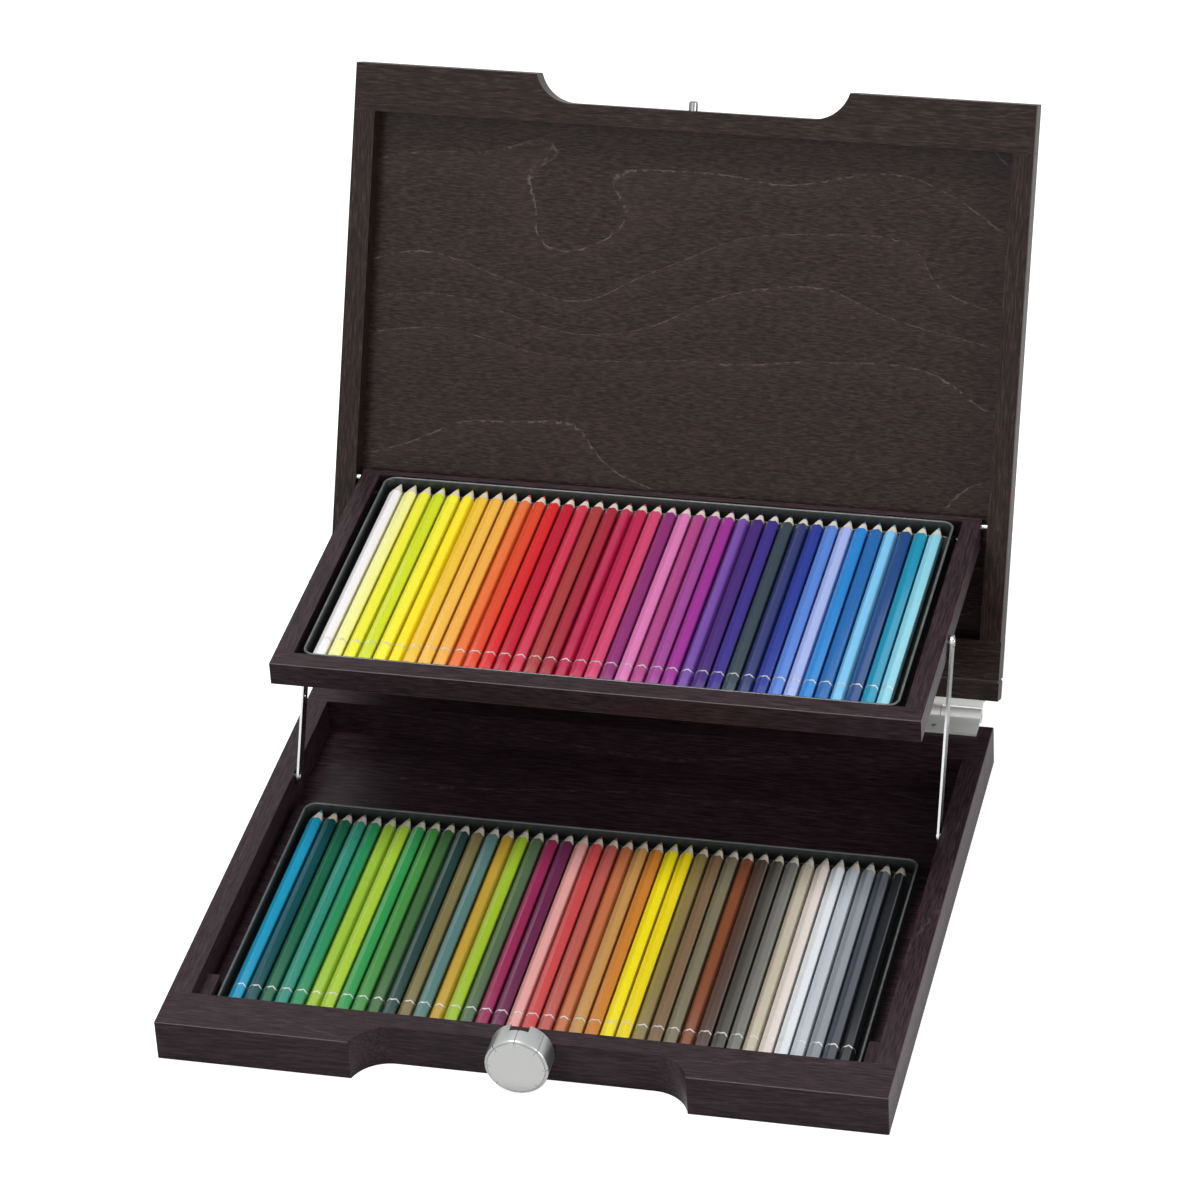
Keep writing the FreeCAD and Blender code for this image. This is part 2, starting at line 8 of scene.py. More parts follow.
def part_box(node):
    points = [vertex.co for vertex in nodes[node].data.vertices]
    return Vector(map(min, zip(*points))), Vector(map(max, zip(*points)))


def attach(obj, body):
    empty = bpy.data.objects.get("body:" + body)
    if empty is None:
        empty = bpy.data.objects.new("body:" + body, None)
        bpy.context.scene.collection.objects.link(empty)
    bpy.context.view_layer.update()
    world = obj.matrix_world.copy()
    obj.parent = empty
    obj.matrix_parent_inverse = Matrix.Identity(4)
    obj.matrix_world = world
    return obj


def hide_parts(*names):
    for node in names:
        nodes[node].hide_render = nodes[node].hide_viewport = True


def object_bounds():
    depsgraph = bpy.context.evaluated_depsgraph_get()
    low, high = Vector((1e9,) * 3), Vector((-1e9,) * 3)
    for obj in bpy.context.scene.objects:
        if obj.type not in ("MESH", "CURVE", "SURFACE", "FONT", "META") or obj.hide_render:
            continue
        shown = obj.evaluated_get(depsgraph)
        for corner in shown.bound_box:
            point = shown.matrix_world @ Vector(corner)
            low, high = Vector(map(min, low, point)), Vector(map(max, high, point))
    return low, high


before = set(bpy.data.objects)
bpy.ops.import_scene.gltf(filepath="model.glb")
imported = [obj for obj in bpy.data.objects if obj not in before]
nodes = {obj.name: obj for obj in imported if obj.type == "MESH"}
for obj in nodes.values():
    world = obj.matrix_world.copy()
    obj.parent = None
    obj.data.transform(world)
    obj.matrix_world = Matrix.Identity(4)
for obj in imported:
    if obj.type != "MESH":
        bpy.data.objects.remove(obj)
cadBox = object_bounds()
mm = 0.001
mergeWithin = 0.005 * mm   # points of a turned mesh nearer than this are one
print("frame loaded,", len(nodes), "nodes")


# sRGB hex to the linear colour that a shader socket takes
def linear(hexCode):
    channels = [int(hexCode[i:i + 2], 16) / 255 for i in (0, 2, 4)]
    return [c / 12.92 if c <= 0.04045 else ((c + 0.055) / 1.055) ** 2.4 for c in channels] + [1.0]


def newMaterial(name):
    material = bpy.data.materials.new(name)
    material.use_nodes = True
    material.node_tree.nodes.clear()
    return material, material.node_tree


# Input names are sockets' names or, where several share one, their numbers
def addNode(tree, kind, settings=None, values=None, links=None):
    node = tree.nodes.new(kind)
    for name, value in (settings or {}).items():
        setattr(node, name, value)
    for name, value in (values or {}).items():
        node.inputs[name].default_value = value
    for name, source in (links or {}).items():
        tree.links.new(source, node.inputs[name])
    return node


# Faces stay flat without a smoothAngle, and with one only the edges past it (degrees) stay sharp
def addPiece(name, mesh, material, smoothAngle=None):
    piece = bpy.data.objects.new(name, mesh)
    bpy.context.scene.collection.objects.link(piece)
    mesh.materials.append(material)
    smoothFaces(mesh, smoothAngle)
    return piece


def smoothFaces(mesh, smoothAngle):
    for face in mesh.polygons:
        face.use_smooth = smoothAngle is not None
    if smoothAngle is not None:
        mesh.set_sharp_from_angle(angle=math.radians(smoothAngle))


def meshFrom(bm, name):
    mesh = bpy.data.meshes.new(name)
    bm.to_mesh(mesh)
    bm.free()
    return mesh


woodLook = {
    "deep": "1A1113", "body": "33242A", "light": "43373D", "hairline": "8C817C", "rubbedAndHighlit": "9C8E89",
    "poreWidth": 0.9, "poreLength": 12.0,   # mm; real pores are 0.2 wide, drawn coarser so that they show
    "poreDetail": 3.0, "poreRoughness": 0.65,
    "poreEdges": (0.38, 0.56), "fleckEdges": (0.55, 0.78), "fleckShare": 0.8,   # levels of the pore noise
    "ringGap": 32.0, "ringWander": 3.0, "ringJag": 0.12, "ringWidth": 0.04,   # gap in mm, the rest in gaps
    "wanderLength": 230.0, "wanderWidth": 75.0, "wanderRoughness": 0.4, "jagSize": 6.0,     # mm
    "hairlineShare": 0.12, "hairlineEdges": (0.42, 0.62), "lateShare": 0.04, "lateStart": 0.55,
    # Eased edges: paler, partly stain rubbed thin and partly a painted highlight
    "rubbedAndHighlitShare": 0.28, "rubbedAndHighlitSlant": (0.2, 0.5),
    "roughness": 0.5, "roughnessRise": 0.1, "roughnessFall": 0.05, "bump": 0.35, "bumpDepth": 0.1,
    "specular": 0.06, "lacquer": 0.5, "lacquerIor": 1.3, "lacquerRoughness": 0.26,
}
lidLook = dict(woodLook, deep="0C0604", body="291B17", light="483B38", poreLength=9.0, bump=0.8)
panelLook = dict(lidLook, deep="0A0504", body="2F211D", light="483834", poreLength=5.0, poreWidth=0.75,
                 bump=0.9, hairlineShare=0.42, lateShare=0.14, ringGap=40.0, ringWander=5.0, ringWidth=0.026,
                 ringJag=0.07, jagSize=4.0, wanderLength=180.0, wanderWidth=110.0)
floorLook = dict(woodLook, hairlineShare=0.2)
beechLook = dict(woodLook, deep="9C7A58", body="C6A27A", light="D6B690", hairline="A88560",
                 rubbedAndHighlit="D6B690", lacquer=0.0)


# Open-pored hardwood, stained near black and sprayed with thin satin lacquer: dark, with fine
# pores along the grain, paler growth lines, and grey where it is seen at a low angle. tilt is the
# carrier's lean about X, and depthwise wood has its grain along the carrier's depth.
def stainedWood(name, look, tilt=0.0, depthwise=False, offset=(0, 0, 0)):
    material, tree = newMaterial(name)
    coords = addNode(tree, "ShaderNodeTexCoord")
    levelled = addNode(tree, "ShaderNodeMapping", {"vector_type": "TEXTURE"},
                       {"Rotation": (math.radians(tilt), 0, 0)}, {"Vector": coords.outputs["Object"]})
    grainTurn = (0, 0, math.radians(90 if depthwise else 0))
    along = addNode(tree, "ShaderNodeMapping", {"vector_type": "TEXTURE"},
                    {"Rotation": grainTurn, "Location": offset}, {"Vector": levelled.outputs[0]})
    poreScale = (1000 / look["poreLength"], 1000 / look["poreWidth"], 1000 / look["poreWidth"])
    poreSpace = addNode(tree, "ShaderNodeMapping", None, {"Scale": poreScale}, {"Vector": along.outputs[0]})
    pores = addNode(tree, "ShaderNodeTexNoise", None,
                    {"Scale": 1.0, "Detail": look["poreDetail"], "Roughness": look["poreRoughness"]},
                    {"Vector": poreSpace.outputs[0]})
    # Growth rings: the height across the grain, bent by a slow noise and jagged by a fine one
    wanderScale = (1000 / look["wanderLength"], 1000 / look["wanderWidth"], 1000 / look["wanderWidth"])
    wanderSpace = addNode(tree, "ShaderNodeMapping", None, {"Scale": wanderScale},
                          {"Vector": along.outputs[0]})
    wander = addNode(tree, "ShaderNodeTexNoise", None,
                     {"Scale": 1.0, "Detail": 1.0, "Roughness": look["wanderRoughness"]},
                     {"Vector": wanderSpace.outputs[0]})
    jag = addNode(tree, "ShaderNodeTexNoise", None, {"Scale": 1000 / look["jagSize"], "Detail": 2.0},
                  {"Vector": along.outputs[0]})
    place = addNode(tree, "ShaderNodeSeparateXYZ", None, None, {0: along.outputs[0]})
    height = addNode(tree, "ShaderNodeMath", {"operation": "ADD"}, None,
                     {0: place.outputs[1], 1: place.outputs[2]})
    rings = addNode(tree, "ShaderNodeMath", {"operation": "MULTIPLY"}, {1: 1000 / look["ringGap"]},
                    {0: height.outputs[0]})
    bent = addNode(tree, "ShaderNodeMath", {"operation": "MULTIPLY_ADD"}, {1: look["ringWander"]},
                   {0: wander.outputs[0], 2: rings.outputs[0]})
    jagged = addNode(tree, "ShaderNodeMath", {"operation": "MULTIPLY_ADD"}, {1: look["ringJag"]},
                     {0: jag.outputs[0], 2: bent.outputs[0]})
    phase = addNode(tree, "ShaderNodeMath", {"operation": "FRACT"}, None, {0: jagged.outputs[0]})
    line = addNode(tree, "ShaderNodeMapRange", {"interpolation_type": "SMOOTHSTEP"},
                   {"From Min": 1 - look["ringWidth"], "From Max": 1.0}, {"Value": phase.outputs[0]})
    faint, plain = look["hairlineEdges"]
    fade = addNode(tree, "ShaderNodeMapRange", None,
                   {"From Min": faint, "From Max": plain, "To Max": look["hairlineShare"]},
                   {"Value": jag.outputs[0]})
    lineShare = addNode(tree, "ShaderNodeMath", {"operation": "MULTIPLY"}, None,
                        {0: fade.outputs[0], 1: line.outputs[0]})
    lateWood = addNode(tree, "ShaderNodeMapRange", {"interpolation_type": "SMOOTHSTEP"},
                       {"From Min": look["lateStart"], "From Max": 1.0, "To Max": look["lateShare"]},
                       {"Value": phase.outputs[0]})
    # Colour: pores in the body, pale flecks and bands, the growth lines, then the eased edges, paler with
    # stain rubbed thin and a painted highlight
    inPore, outOfPore = look["poreEdges"]
    poreShare = addNode(tree, "ShaderNodeMapRange", None, {"From Min": inPore, "From Max": outOfPore},
                        {"Value": pores.outputs[0]})
    body = addNode(tree, "ShaderNodeMix", {"data_type": "RGBA"},
                   {6: linear(look["deep"]), 7: linear(look["body"])}, {0: poreShare.outputs[0]})
    fleckLow, fleckHigh = look["fleckEdges"]
    flecks = addNode(tree, "ShaderNodeMapRange", None,
                     {"From Min": fleckLow, "From Max": fleckHigh, "To Max": look["fleckShare"]},
                     {"Value": pores.outputs[0]})
    flecked = addNode(tree, "ShaderNodeMix", {"data_type": "RGBA"}, {7: linear(look["light"])},
                      {0: flecks.outputs[0], 6: body.outputs[2]})
    toned = addNode(tree, "ShaderNodeMix", {"data_type": "RGBA"}, {7: linear(look["light"])},
                    {0: lateWood.outputs[0], 6: flecked.outputs[2]})
    lined = addNode(tree, "ShaderNodeMix", {"data_type": "RGBA"}, {7: linear(look["hairline"])},
                    {0: lineShare.outputs[0], 6: toned.outputs[2]})
    # Eased edges are the faces that look neither up nor sideways: their stain is rubbed thin, and their paler
    # colour is also a painted highlight where they catch the light
    facing = addNode(tree, "ShaderNodeMapping", {"vector_type": "TEXTURE"},
                     {"Rotation": (math.radians(tilt), 0, 0)}, {"Vector": coords.outputs["Normal"]})
    straight = addNode(tree, "ShaderNodeVectorMath", {"operation": "ABSOLUTE"}, None, {0: facing.outputs[0]})
    parts = addNode(tree, "ShaderNodeSeparateXYZ", None, None, {0: straight.outputs[0]})
    sideways = addNode(tree, "ShaderNodeMath", {"operation": "MAXIMUM"}, None,
                       {0: parts.outputs[0], 1: parts.outputs[1]})
    slant = addNode(tree, "ShaderNodeMath", {"operation": "MULTIPLY"}, None,
                    {0: sideways.outputs[0], 1: parts.outputs[2]})
    slantLow, slantHigh = look["rubbedAndHighlitSlant"]
    edge = addNode(tree, "ShaderNodeMapRange", None,
                   {"From Min": slantLow, "From Max": slantHigh, "To Max": look["rubbedAndHighlitShare"]},
                   {"Value": slant.outputs[0]})
    coloured = addNode(tree, "ShaderNodeMix", {"data_type": "RGBA"}, {7: linear(look["rubbedAndHighlit"])},
                       {0: edge.outputs[0], 6: lined.outputs[2]})
    rough = addNode(tree, "ShaderNodeMapRange", None,
                    {"To Min": look["roughness"] + look["roughnessRise"],
                     "To Max": look["roughness"] - look["roughnessFall"]}, {"Value": pores.outputs[0]})
    bump = addNode(tree, "ShaderNodeBump", None,
                   {"Strength": look["bump"], "Distance": look["bumpDepth"] * mm},
                   {"Height": pores.outputs[0]})
    shader = addNode(tree, "ShaderNodeBsdfPrincipled", None,
                     {"IOR": 1.5, "Specular IOR Level": look["specular"], "Coat Weight": look["lacquer"],
                      "Coat IOR": look["lacquerIor"], "Coat Roughness": look["lacquerRoughness"]},
                     {"Base Color": coloured.outputs[2], "Roughness": rough.outputs[0],
                      "Normal": bump.outputs[0]})
    addNode(tree, "ShaderNodeOutputMaterial", None, None, {"Surface": shader.outputs[0]})
    return material


lidTilt = 63   # degrees; the lid's depth runs up at this angle in the open pose
woods = {
    "across": stainedWood("stainedWoodAcross", woodLook),
    "depthwise": stainedWood("stainedWoodDepthwise", woodLook, depthwise=True, offset=(0.3, 0.1, 0)),
    "lidAcross": stainedWood("stainedWoodLidAcross", lidLook, tilt=lidTilt, offset=(0.1, 0.53, 0.2)),
    "lidDepthwise": stainedWood("stainedWoodLidDepthwise", lidLook, tilt=lidTilt, depthwise=True,
                                offset=(0.2, 0.1, 0.7)),
    "panel": stainedWood("stainedVeneerPanel", panelLook, tilt=lidTilt, offset=(0.7, 0.2, 0.4)),
    "floor": stainedWood("stainedVeneerFloor", floorLook, offset=(0.4, 0.9, 0.3)),
    "beech": stainedWood("bareBeech", beechLook, depthwise=True),
}
print("woods ready")


aluminiumLook = {
    "grainSize": 0.5, "dimShare": 0.93,      # mm, and how bright the darker grains are
    "smoother": 0.05, "rougher": 0.06, "bump": 0.25, "bumpDepth": 0.02,
    "latheRing": 0.7, "latheShare": 0.25,    # mm; real rings are finer, drawn coarser so that they show
}


# Aluminium, turned for the knob and extruded for the hinges, fine blasted and clear anodised:
# bright grey with a soft wide highlight and hardly any texture. latheHeight is the height of the
# axis that the lathe's rings run round, in mm.
def satinAluminium(name, tone, roughness, latheHeight=None):
    look = aluminiumLook
    material, tree = newMaterial(name)
    coords = addNode(tree, "ShaderNodeTexCoord")
    grain = addNode(tree, "ShaderNodeTexNoise", None, {"Scale": 1 / (look["grainSize"] * mm), "Detail": 2.0},
                    {"Vector": coords.outputs["Object"]})
    height = grain.outputs[0]
    if latheHeight is not None:
        centred = addNode(tree, "ShaderNodeMapping", None,
                          {"Location": (0, 0, -latheHeight * mm), "Scale": (1, 0, 1)},
                          {"Vector": coords.outputs["Object"]})
        radius = addNode(tree, "ShaderNodeVectorMath", {"operation": "LENGTH"}, None, {0: centred.outputs[0]})
        turns = addNode(tree, "ShaderNodeMath", {"operation": "MULTIPLY"},
                        {1: 2 * math.pi / (look["latheRing"] * mm)}, {0: radius.outputs["Value"]})
        wave = addNode(tree, "ShaderNodeMath", {"operation": "SINE"}, None, {0: turns.outputs[0]})
        height = addNode(tree, "ShaderNodeMath", {"operation": "MULTIPLY_ADD"}, {1: look["latheShare"]},
                         {0: wave.outputs[0], 2: grain.outputs[0]}).outputs[0]
    rough = addNode(tree, "ShaderNodeMapRange", None,
                    {"To Min": roughness - look["smoother"], "To Max": roughness + look["rougher"]},
                    {"Value": grain.outputs[0]})
    dim = [look["dimShare"] * part for part in linear(tone)]
    tint = addNode(tree, "ShaderNodeMix", {"data_type": "RGBA"}, {6: dim, 7: linear(tone)},
                   {0: grain.outputs[0]})
    bump = addNode(tree, "ShaderNodeBump", None,
                   {"Strength": look["bump"], "Distance": look["bumpDepth"] * mm},
                   {"Height": height})
    shader = addNode(tree, "ShaderNodeBsdfPrincipled", None, {"Metallic": 1.0},
                     {"Base Color": tint.outputs[2], "Roughness": rough.outputs[0],
                      "Normal": bump.outputs[0]})
    addNode(tree, "ShaderNodeOutputMaterial", None, None, {"Surface": shader.outputs[0]})
    return material


steelLook = {
    "lines": (2000, 700, 60),     # roll lines to the metre, along each axis
    "smoother": 0.03, "rougher": 0.08, "bump": 0.2, "bumpDepth": 0.01,
}


# Cold-rolled steel, plated bright with zinc or chrome: near white in the light, with faint roll lines
def platedSteel(name, tone, roughness):
    look = steelLook
    material, tree = newMaterial(name)
    coords = addNode(tree, "ShaderNodeTexCoord")
    lines = addNode(tree, "ShaderNodeMapping", None, {"Scale": look["lines"]},
                    {"Vector": coords.outputs["Object"]})
    grain = addNode(tree, "ShaderNodeTexNoise", None, {"Scale": 1.0, "Detail": 2.0},
                    {"Vector": lines.outputs[0]})
    rough = addNode(tree, "ShaderNodeMapRange", None,
                    {"To Min": roughness - look["smoother"], "To Max": roughness + look["rougher"]},
                    {"Value": grain.outputs[0]})
    bump = addNode(tree, "ShaderNodeBump", None,
                   {"Strength": look["bump"], "Distance": look["bumpDepth"] * mm},
                   {"Height": grain.outputs[0]})
    shader = addNode(tree, "ShaderNodeBsdfPrincipled", None, {"Metallic": 1.0, "Base Color": linear(tone)},
                     {"Roughness": rough.outputs[0], "Normal": bump.outputs[0]})
    addNode(tree, "ShaderNodeOutputMaterial", None, None, {"Surface": shader.outputs[0]})
    return material


hingeAluminium = satinAluminium("extrudedHingeAluminium", "E2E3E1", roughness=0.62)
plated = platedSteel("brightZincSteel", "C9CACB", roughness=0.22)
# Its tone is kept well below real chrome: a painted dark reflection, since the white studio would show it
# white
chrome = platedSteel("polishedChromePlate", "8E8F91", roughness=0.09)
screwSteel = platedSteel("screwZincSteel", "9FA0A0", roughness=0.28)


tinLook = {
    # The rim colour is a painted highlight, and the colour at the bottom is painted shade
    "wall": "2F3433", "shadedBottom": "121516", "rim": "9BA09E", "rimHighlightShare": 0.45,
    "rimHighlightDeep": 0.5, "wallTop": 0.8, "wallBottom": 7.0,     # mm below the rim
    "flowSize": 6.0, "roughness": (0.34, 0.44), "bump": 0.15, "bumpDepth": 0.05,
    "coat": 0.2, "coatRoughness": 0.3,
}


# Tinplate with stoved satin enamel: dark grey green, a soft sheen, a painted highlight along the rim, and
# painted shade that darkens the walls towards the bottom
def enamelledTin(name, rimHeight):
    look = tinLook
    material, tree = newMaterial(name)
    coords = addNode(tree, "ShaderNodeTexCoord")
    flow = addNode(tree, "ShaderNodeTexNoise", None, {"Scale": 1 / (look["flowSize"] * mm), "Detail": 3.0},
                   {"Vector": coords.outputs["Object"]})
    parts = addNode(tree, "ShaderNodeSeparateXYZ", None, None, {0: coords.outputs["Object"]})
    # Painted highlight: the rim turns paler, speckled by the flow noise
    rimHighlightMask = addNode(tree, "ShaderNodeMapRange", {"interpolation_type": "SMOOTHSTEP"},
                  {"From Min": rimHeight - look["rimHighlightDeep"] * mm, "From Max": rimHeight,
                   "To Max": look["rimHighlightShare"]}, {"Value": parts.outputs[2]})
    speckledRimHighlight = addNode(tree, "ShaderNodeMath", {"operation": "MULTIPLY"}, None,
                      {0: rimHighlightMask.outputs[0], 1: flow.outputs[0]})
    # Painted shade: the walls darken from the rim down towards the bottom
    shadeDepth = addNode(tree, "ShaderNodeMapRange", None,
                    {"From Min": rimHeight - look["wallBottom"] * mm,
                     "From Max": rimHeight - look["wallTop"] * mm}, {"Value": parts.outputs[2]})
    wall = addNode(tree, "ShaderNodeMix", {"data_type": "RGBA"},
                   {6: linear(look["shadedBottom"]), 7: linear(look["wall"])}, {0: shadeDepth.outputs[0]})
    tint = addNode(tree, "ShaderNodeMix", {"data_type": "RGBA"}, {7: linear(look["rim"])},
                   {0: speckledRimHighlight.outputs[0], 6: wall.outputs[2]})
    smooth, dull = look["roughness"]
    rough = addNode(tree, "ShaderNodeMapRange", None, {"To Min": smooth, "To Max": dull},
                    {"Value": flow.outputs[0]})
    bump = addNode(tree, "ShaderNodeBump", None,
                   {"Strength": look["bump"], "Distance": look["bumpDepth"] * mm},
                   {"Height": flow.outputs[0]})
    shader = addNode(tree, "ShaderNodeBsdfPrincipled", None,
                     {"IOR": 1.52, "Coat Weight": look["coat"], "Coat Roughness": look["coatRoughness"]},
                     {"Base Color": tint.outputs[2], "Roughness": rough.outputs[0],
                      "Normal": bump.outputs[0]})
    addNode(tree, "ShaderNodeOutputMaterial", None, None, {"Surface": shader.outputs[0]})
    return material


foamLook = {
    # cut is the colour of a painted highlight along the rear edge
    "cell": "0E0F0F", "skin": "1E1F1F", "cut": "A3916C", "cellSize": 0.8, "rearHighlightWide": 0.6,     # mm
    "roughness": 0.8, "bump": 0.4, "bumpDepth": 0.1,
}


# Black foamed polyethylene sheet: dull, with a fine open skin, and a painted highlight: a pale line along its
# rear edge
def foamSheet(name, node):
    look = foamLook
    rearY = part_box(node)[1][1]
    material, tree = newMaterial(name)
    coords = addNode(tree, "ShaderNodeTexCoord")
    cells = addNode(tree, "ShaderNodeTexVoronoi", None, {"Scale": 1 / (look["cellSize"] * mm)},
                    {"Vector": coords.outputs["Object"]})
    tint = addNode(tree, "ShaderNodeMix", {"data_type": "RGBA"},
                   {6: linear(look["cell"]), 7: linear(look["skin"])}, {0: cells.outputs["Distance"]})
    parts = addNode(tree, "ShaderNodeSeparateXYZ", None, None, {0: coords.outputs["Object"]})
    # Painted highlight: a pale band along the rear edge
    cut = addNode(tree, "ShaderNodeMath", {"operation": "GREATER_THAN"}, {1: rearY - look["rearHighlightWide"] * mm},
                  {0: parts.outputs[1]})
    edged = addNode(tree, "ShaderNodeMix", {"data_type": "RGBA"}, {7: linear(look["cut"])},
                    {0: cut.outputs[0], 6: tint.outputs[2]})
    bump = addNode(tree, "ShaderNodeBump", None,
                   {"Strength": look["bump"], "Distance": look["bumpDepth"] * mm},
                   {"Height": cells.outputs["Distance"]})
    shader = addNode(tree, "ShaderNodeBsdfPrincipled", None, {"Roughness": look["roughness"]},
                     {"Base Color": edged.outputs[2], "Normal": bump.outputs[0]})
    addNode(tree, "ShaderNodeOutputMaterial", None, None, {"Surface": shader.outputs[0]})
    return material


tinShape = {
    "cornerRadius": 7.0, "cornerSteps": 10, "smoothAngle": 50,
    # (in from the rim's outer edge, up from the underside), mm, round the folded sheet
    "section": [(2.1, 0.0), (1.5, 0.15), (1.1, 0.5), (0.9, 1.1), (0.9, 8.7), (0.45, 8.72), (0.12, 8.95),
                (0.0, 9.35), (0.12, 9.72), (0.42, 9.94), (0.8, 10.0), (1.16, 9.92), (1.4, 9.68), (1.5, 9.3),
                (1.5, 1.5), (1.62, 1.0), (1.95, 0.7), (2.5, 0.6)],
}


# The edges that grow from a ring of edges when it is extruded
def grownRing(bm, ring):
    grown = bmesh.ops.extrude_edge_only(bm, edges=ring)["geom"]
    return [part for part in grown if isinstance(part, bmesh.types.BMEdge)]


# A rounded rectangle that is drawn up ring by ring through the section of the folded sheet
def makeTin(name, node, body):
    low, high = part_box(node)
    centre = [(low[i] + high[i]) / 2 for i in range(3)]
    half = [(high[i] - low[i]) / 2 for i in range(3)]
    radius = tinShape["cornerRadius"] * mm
    bm = bmesh.new()
    corners = [(half[0], half[1]), (-half[0], half[1]), (-half[0], -half[1]), (half[0], -half[1])]
    bm.faces.new([bm.verts.new((x, y, 0)) for x, y in corners])
    bmesh.ops.bevel(bm, geom=list(bm.verts), offset=radius, offset_type="OFFSET",
                    segments=tinShape["cornerSteps"], profile=0.5, affect="VERTICES", material=-1,
                    clamp_overlap=False)
    core = [half[0] - radius, half[1] - radius]
    ring = list(bm.edges)
    for number, (inward, up) in enumerate(tinShape["section"]):
        if number:
            ring = grownRing(bm, ring)
        for v in {v for edge in ring for v in edge.verts}:
            anchor = Vector((max(-core[0], min(core[0], v.co.x)), max(-core[1], min(core[1], v.co.y)), 0))
            away = Vector((v.co.x, v.co.y, 0)) - anchor
            v.co = anchor + away.normalized() * (radius - inward * mm)
            v.co.z = up * mm
    bmesh.ops.contextual_create(bm, geom=ring)
    bmesh.ops.recalc_face_normals(bm, faces=bm.faces)
    bmesh.ops.translate(bm, verts=bm.verts, vec=(centre[0], centre[1], low[2]))
    piece = addPiece(name, meshFrom(bm, name), enamelledTin(name + "Enamel", high[2]),
                     tinShape["smoothAngle"])
    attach(piece, body)
    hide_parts(node)


makeTin("upperTin", "upper_tin", "tray")
makeTin("lowerTin", "lower_tin", "base")
print("tins made")


pencilShape = {
    "sides": 6, "pitch": 8.2, "corner": 4.075, "cornerRound": 0.45, "length": 175.0, "cone": 12.5,
    "tip": 0.5, "lead": 1.6, "leadRound": 0.6, "leadEnd": 0.55,   # mm; leadEnd is a share of tip
    "foilFromButt": 15.4, "foilRise": 1.6, "foilWidth": 1.1, "dipRound": 0.5,
    "smoothAngle": 24, "flatCuts": 3, "shaft": [8.0, 40.0, 100.0],   # rings on the shaft, mm from the butt
    "coneLead": 0.5, "coneStep": 0.35, "coneSteps": 9,     # close rings, where the cone runs out on the flats
    "coneRings": [4.5, 7.5, 10.0], "tipRings": [1.0, 0.3, 0.0],     # mm from the cone's start and to its end
    # Degrees that each pencil lies turned from flat side up, repeated along the row
    "turns": [24, 27, 18, 26, 21, 6, 25, 28, 22, 12, 26, 19, 27, 3, 24, 22, 28],
}
flatTurn = 360 / pencilShape["sides"]   # degrees round a pencil that one flat takes up

upperFamilies = {
    "yellow": {"white": "F3F0F2", "cream": "F6F49B", "lemon": "EFEC3C", "limeYellow": "D2DF2B",
               "lightYellow": "F6EE3B", "yellow": "FAE51E", "apricot": "F1C53E", "naples": "F3BD4F",
               "paleOrange": "EFAE4A", "orange": "E57037", "vermilion": "DD4B2F"},
    "red": {"scarlet": "D5292E", "crimson": "BE1F37", "rose": "CC3651", "brickRed": "A93E3F",
            "carmine": "A32B3D", "cherry": "B41D4A", "raspberry": "BB2A53", "pink": "D24A74"},
    "violet": {"plum": "8A2F72", "lightPink": "DB7CB6", "fuchsia": "AC4484", "orchid": "9F4996",
               "magenta": "9B3192", "lavender": "6F459E", "purple": "482C76", "violet": "3E3289",
               "slate": "37464F", "indigo": "303A6E"},
    "blue": {"ultramarine": "2D3E95", "cornflower": "5B86D6", "periwinkle": "A7B7EA", "azure": "2B86D0",
             "cobalt": "2468AC", "paleBlue": "7CC4EE", "navy": "234A84", "cyan": "1F93B5",
             "skyBlue": "8FD3E4"},
}
lowerFamilies = {
    "green": {"turquoise": "2196BC", "teal": "124B50", "bottleGreen": "1D6248", "seaGreen": "328B78",
              "emerald": "2A8A5C", "lime": "98BD3B", "appleGreen": "A6C83B", "leafGreen": "339450",
              "grassGreen": "468C44", "mossGreen": "42683F", "pineGreen": "27423F", "olive": "7A7048",
              "greyTeal": "557A78", "ochre": "BC9A38", "brightLime": "9DBB2F", "sage": "50674B"},
    "brown": {"wine": "932A55", "aubergine": "67284D", "flesh": "DE9F9B", "coral": "C74A4C",
              "terracotta": "B65A52", "copper": "BD6E47", "sand": "C09052", "amber": "C67D31"},
    "earth": {"canary": "EEDD1C", "goldYellow": "EAD41C", "khaki": "857548", "umber": "7A6248",
              "stone": "77705A", "rust": "80492F", "chocolate": "524038", "darkUmber": "4A4741",
              "warmGrey": "74736F", "beige": "C0B6A4"},
    "grey": {"shell": "DCD2CA", "silver": "DEE2E6", "paleGrey": "BCC3CA", "grey": "878E96",
             "charcoal": "3E434D", "black": "23262A"},
}
pencilLook = {
    "foil": "E6E6E4", "foilMetal": 0.8, "foilRoughness": 0.35,
    "cedar": "D2C5B2", "paleCedar": "EEE4D6", "cedarRoughness": 0.62,
    "cedarGrain": (1800, 160, 1800),     # to the metre
    "leadDark": "20201F", "leadDarkShare": 0.35, "leadRoughness": 0.5,
    "lacquerRoughness": 0.3, "coat": 0.35, "coatRoughness": 0.16,
    "peelSize": 1.6, "peelShade": (0.9, 1.06), "bump": 0.15, "bumpDepth": 0.03,     # mm for size and depth
}


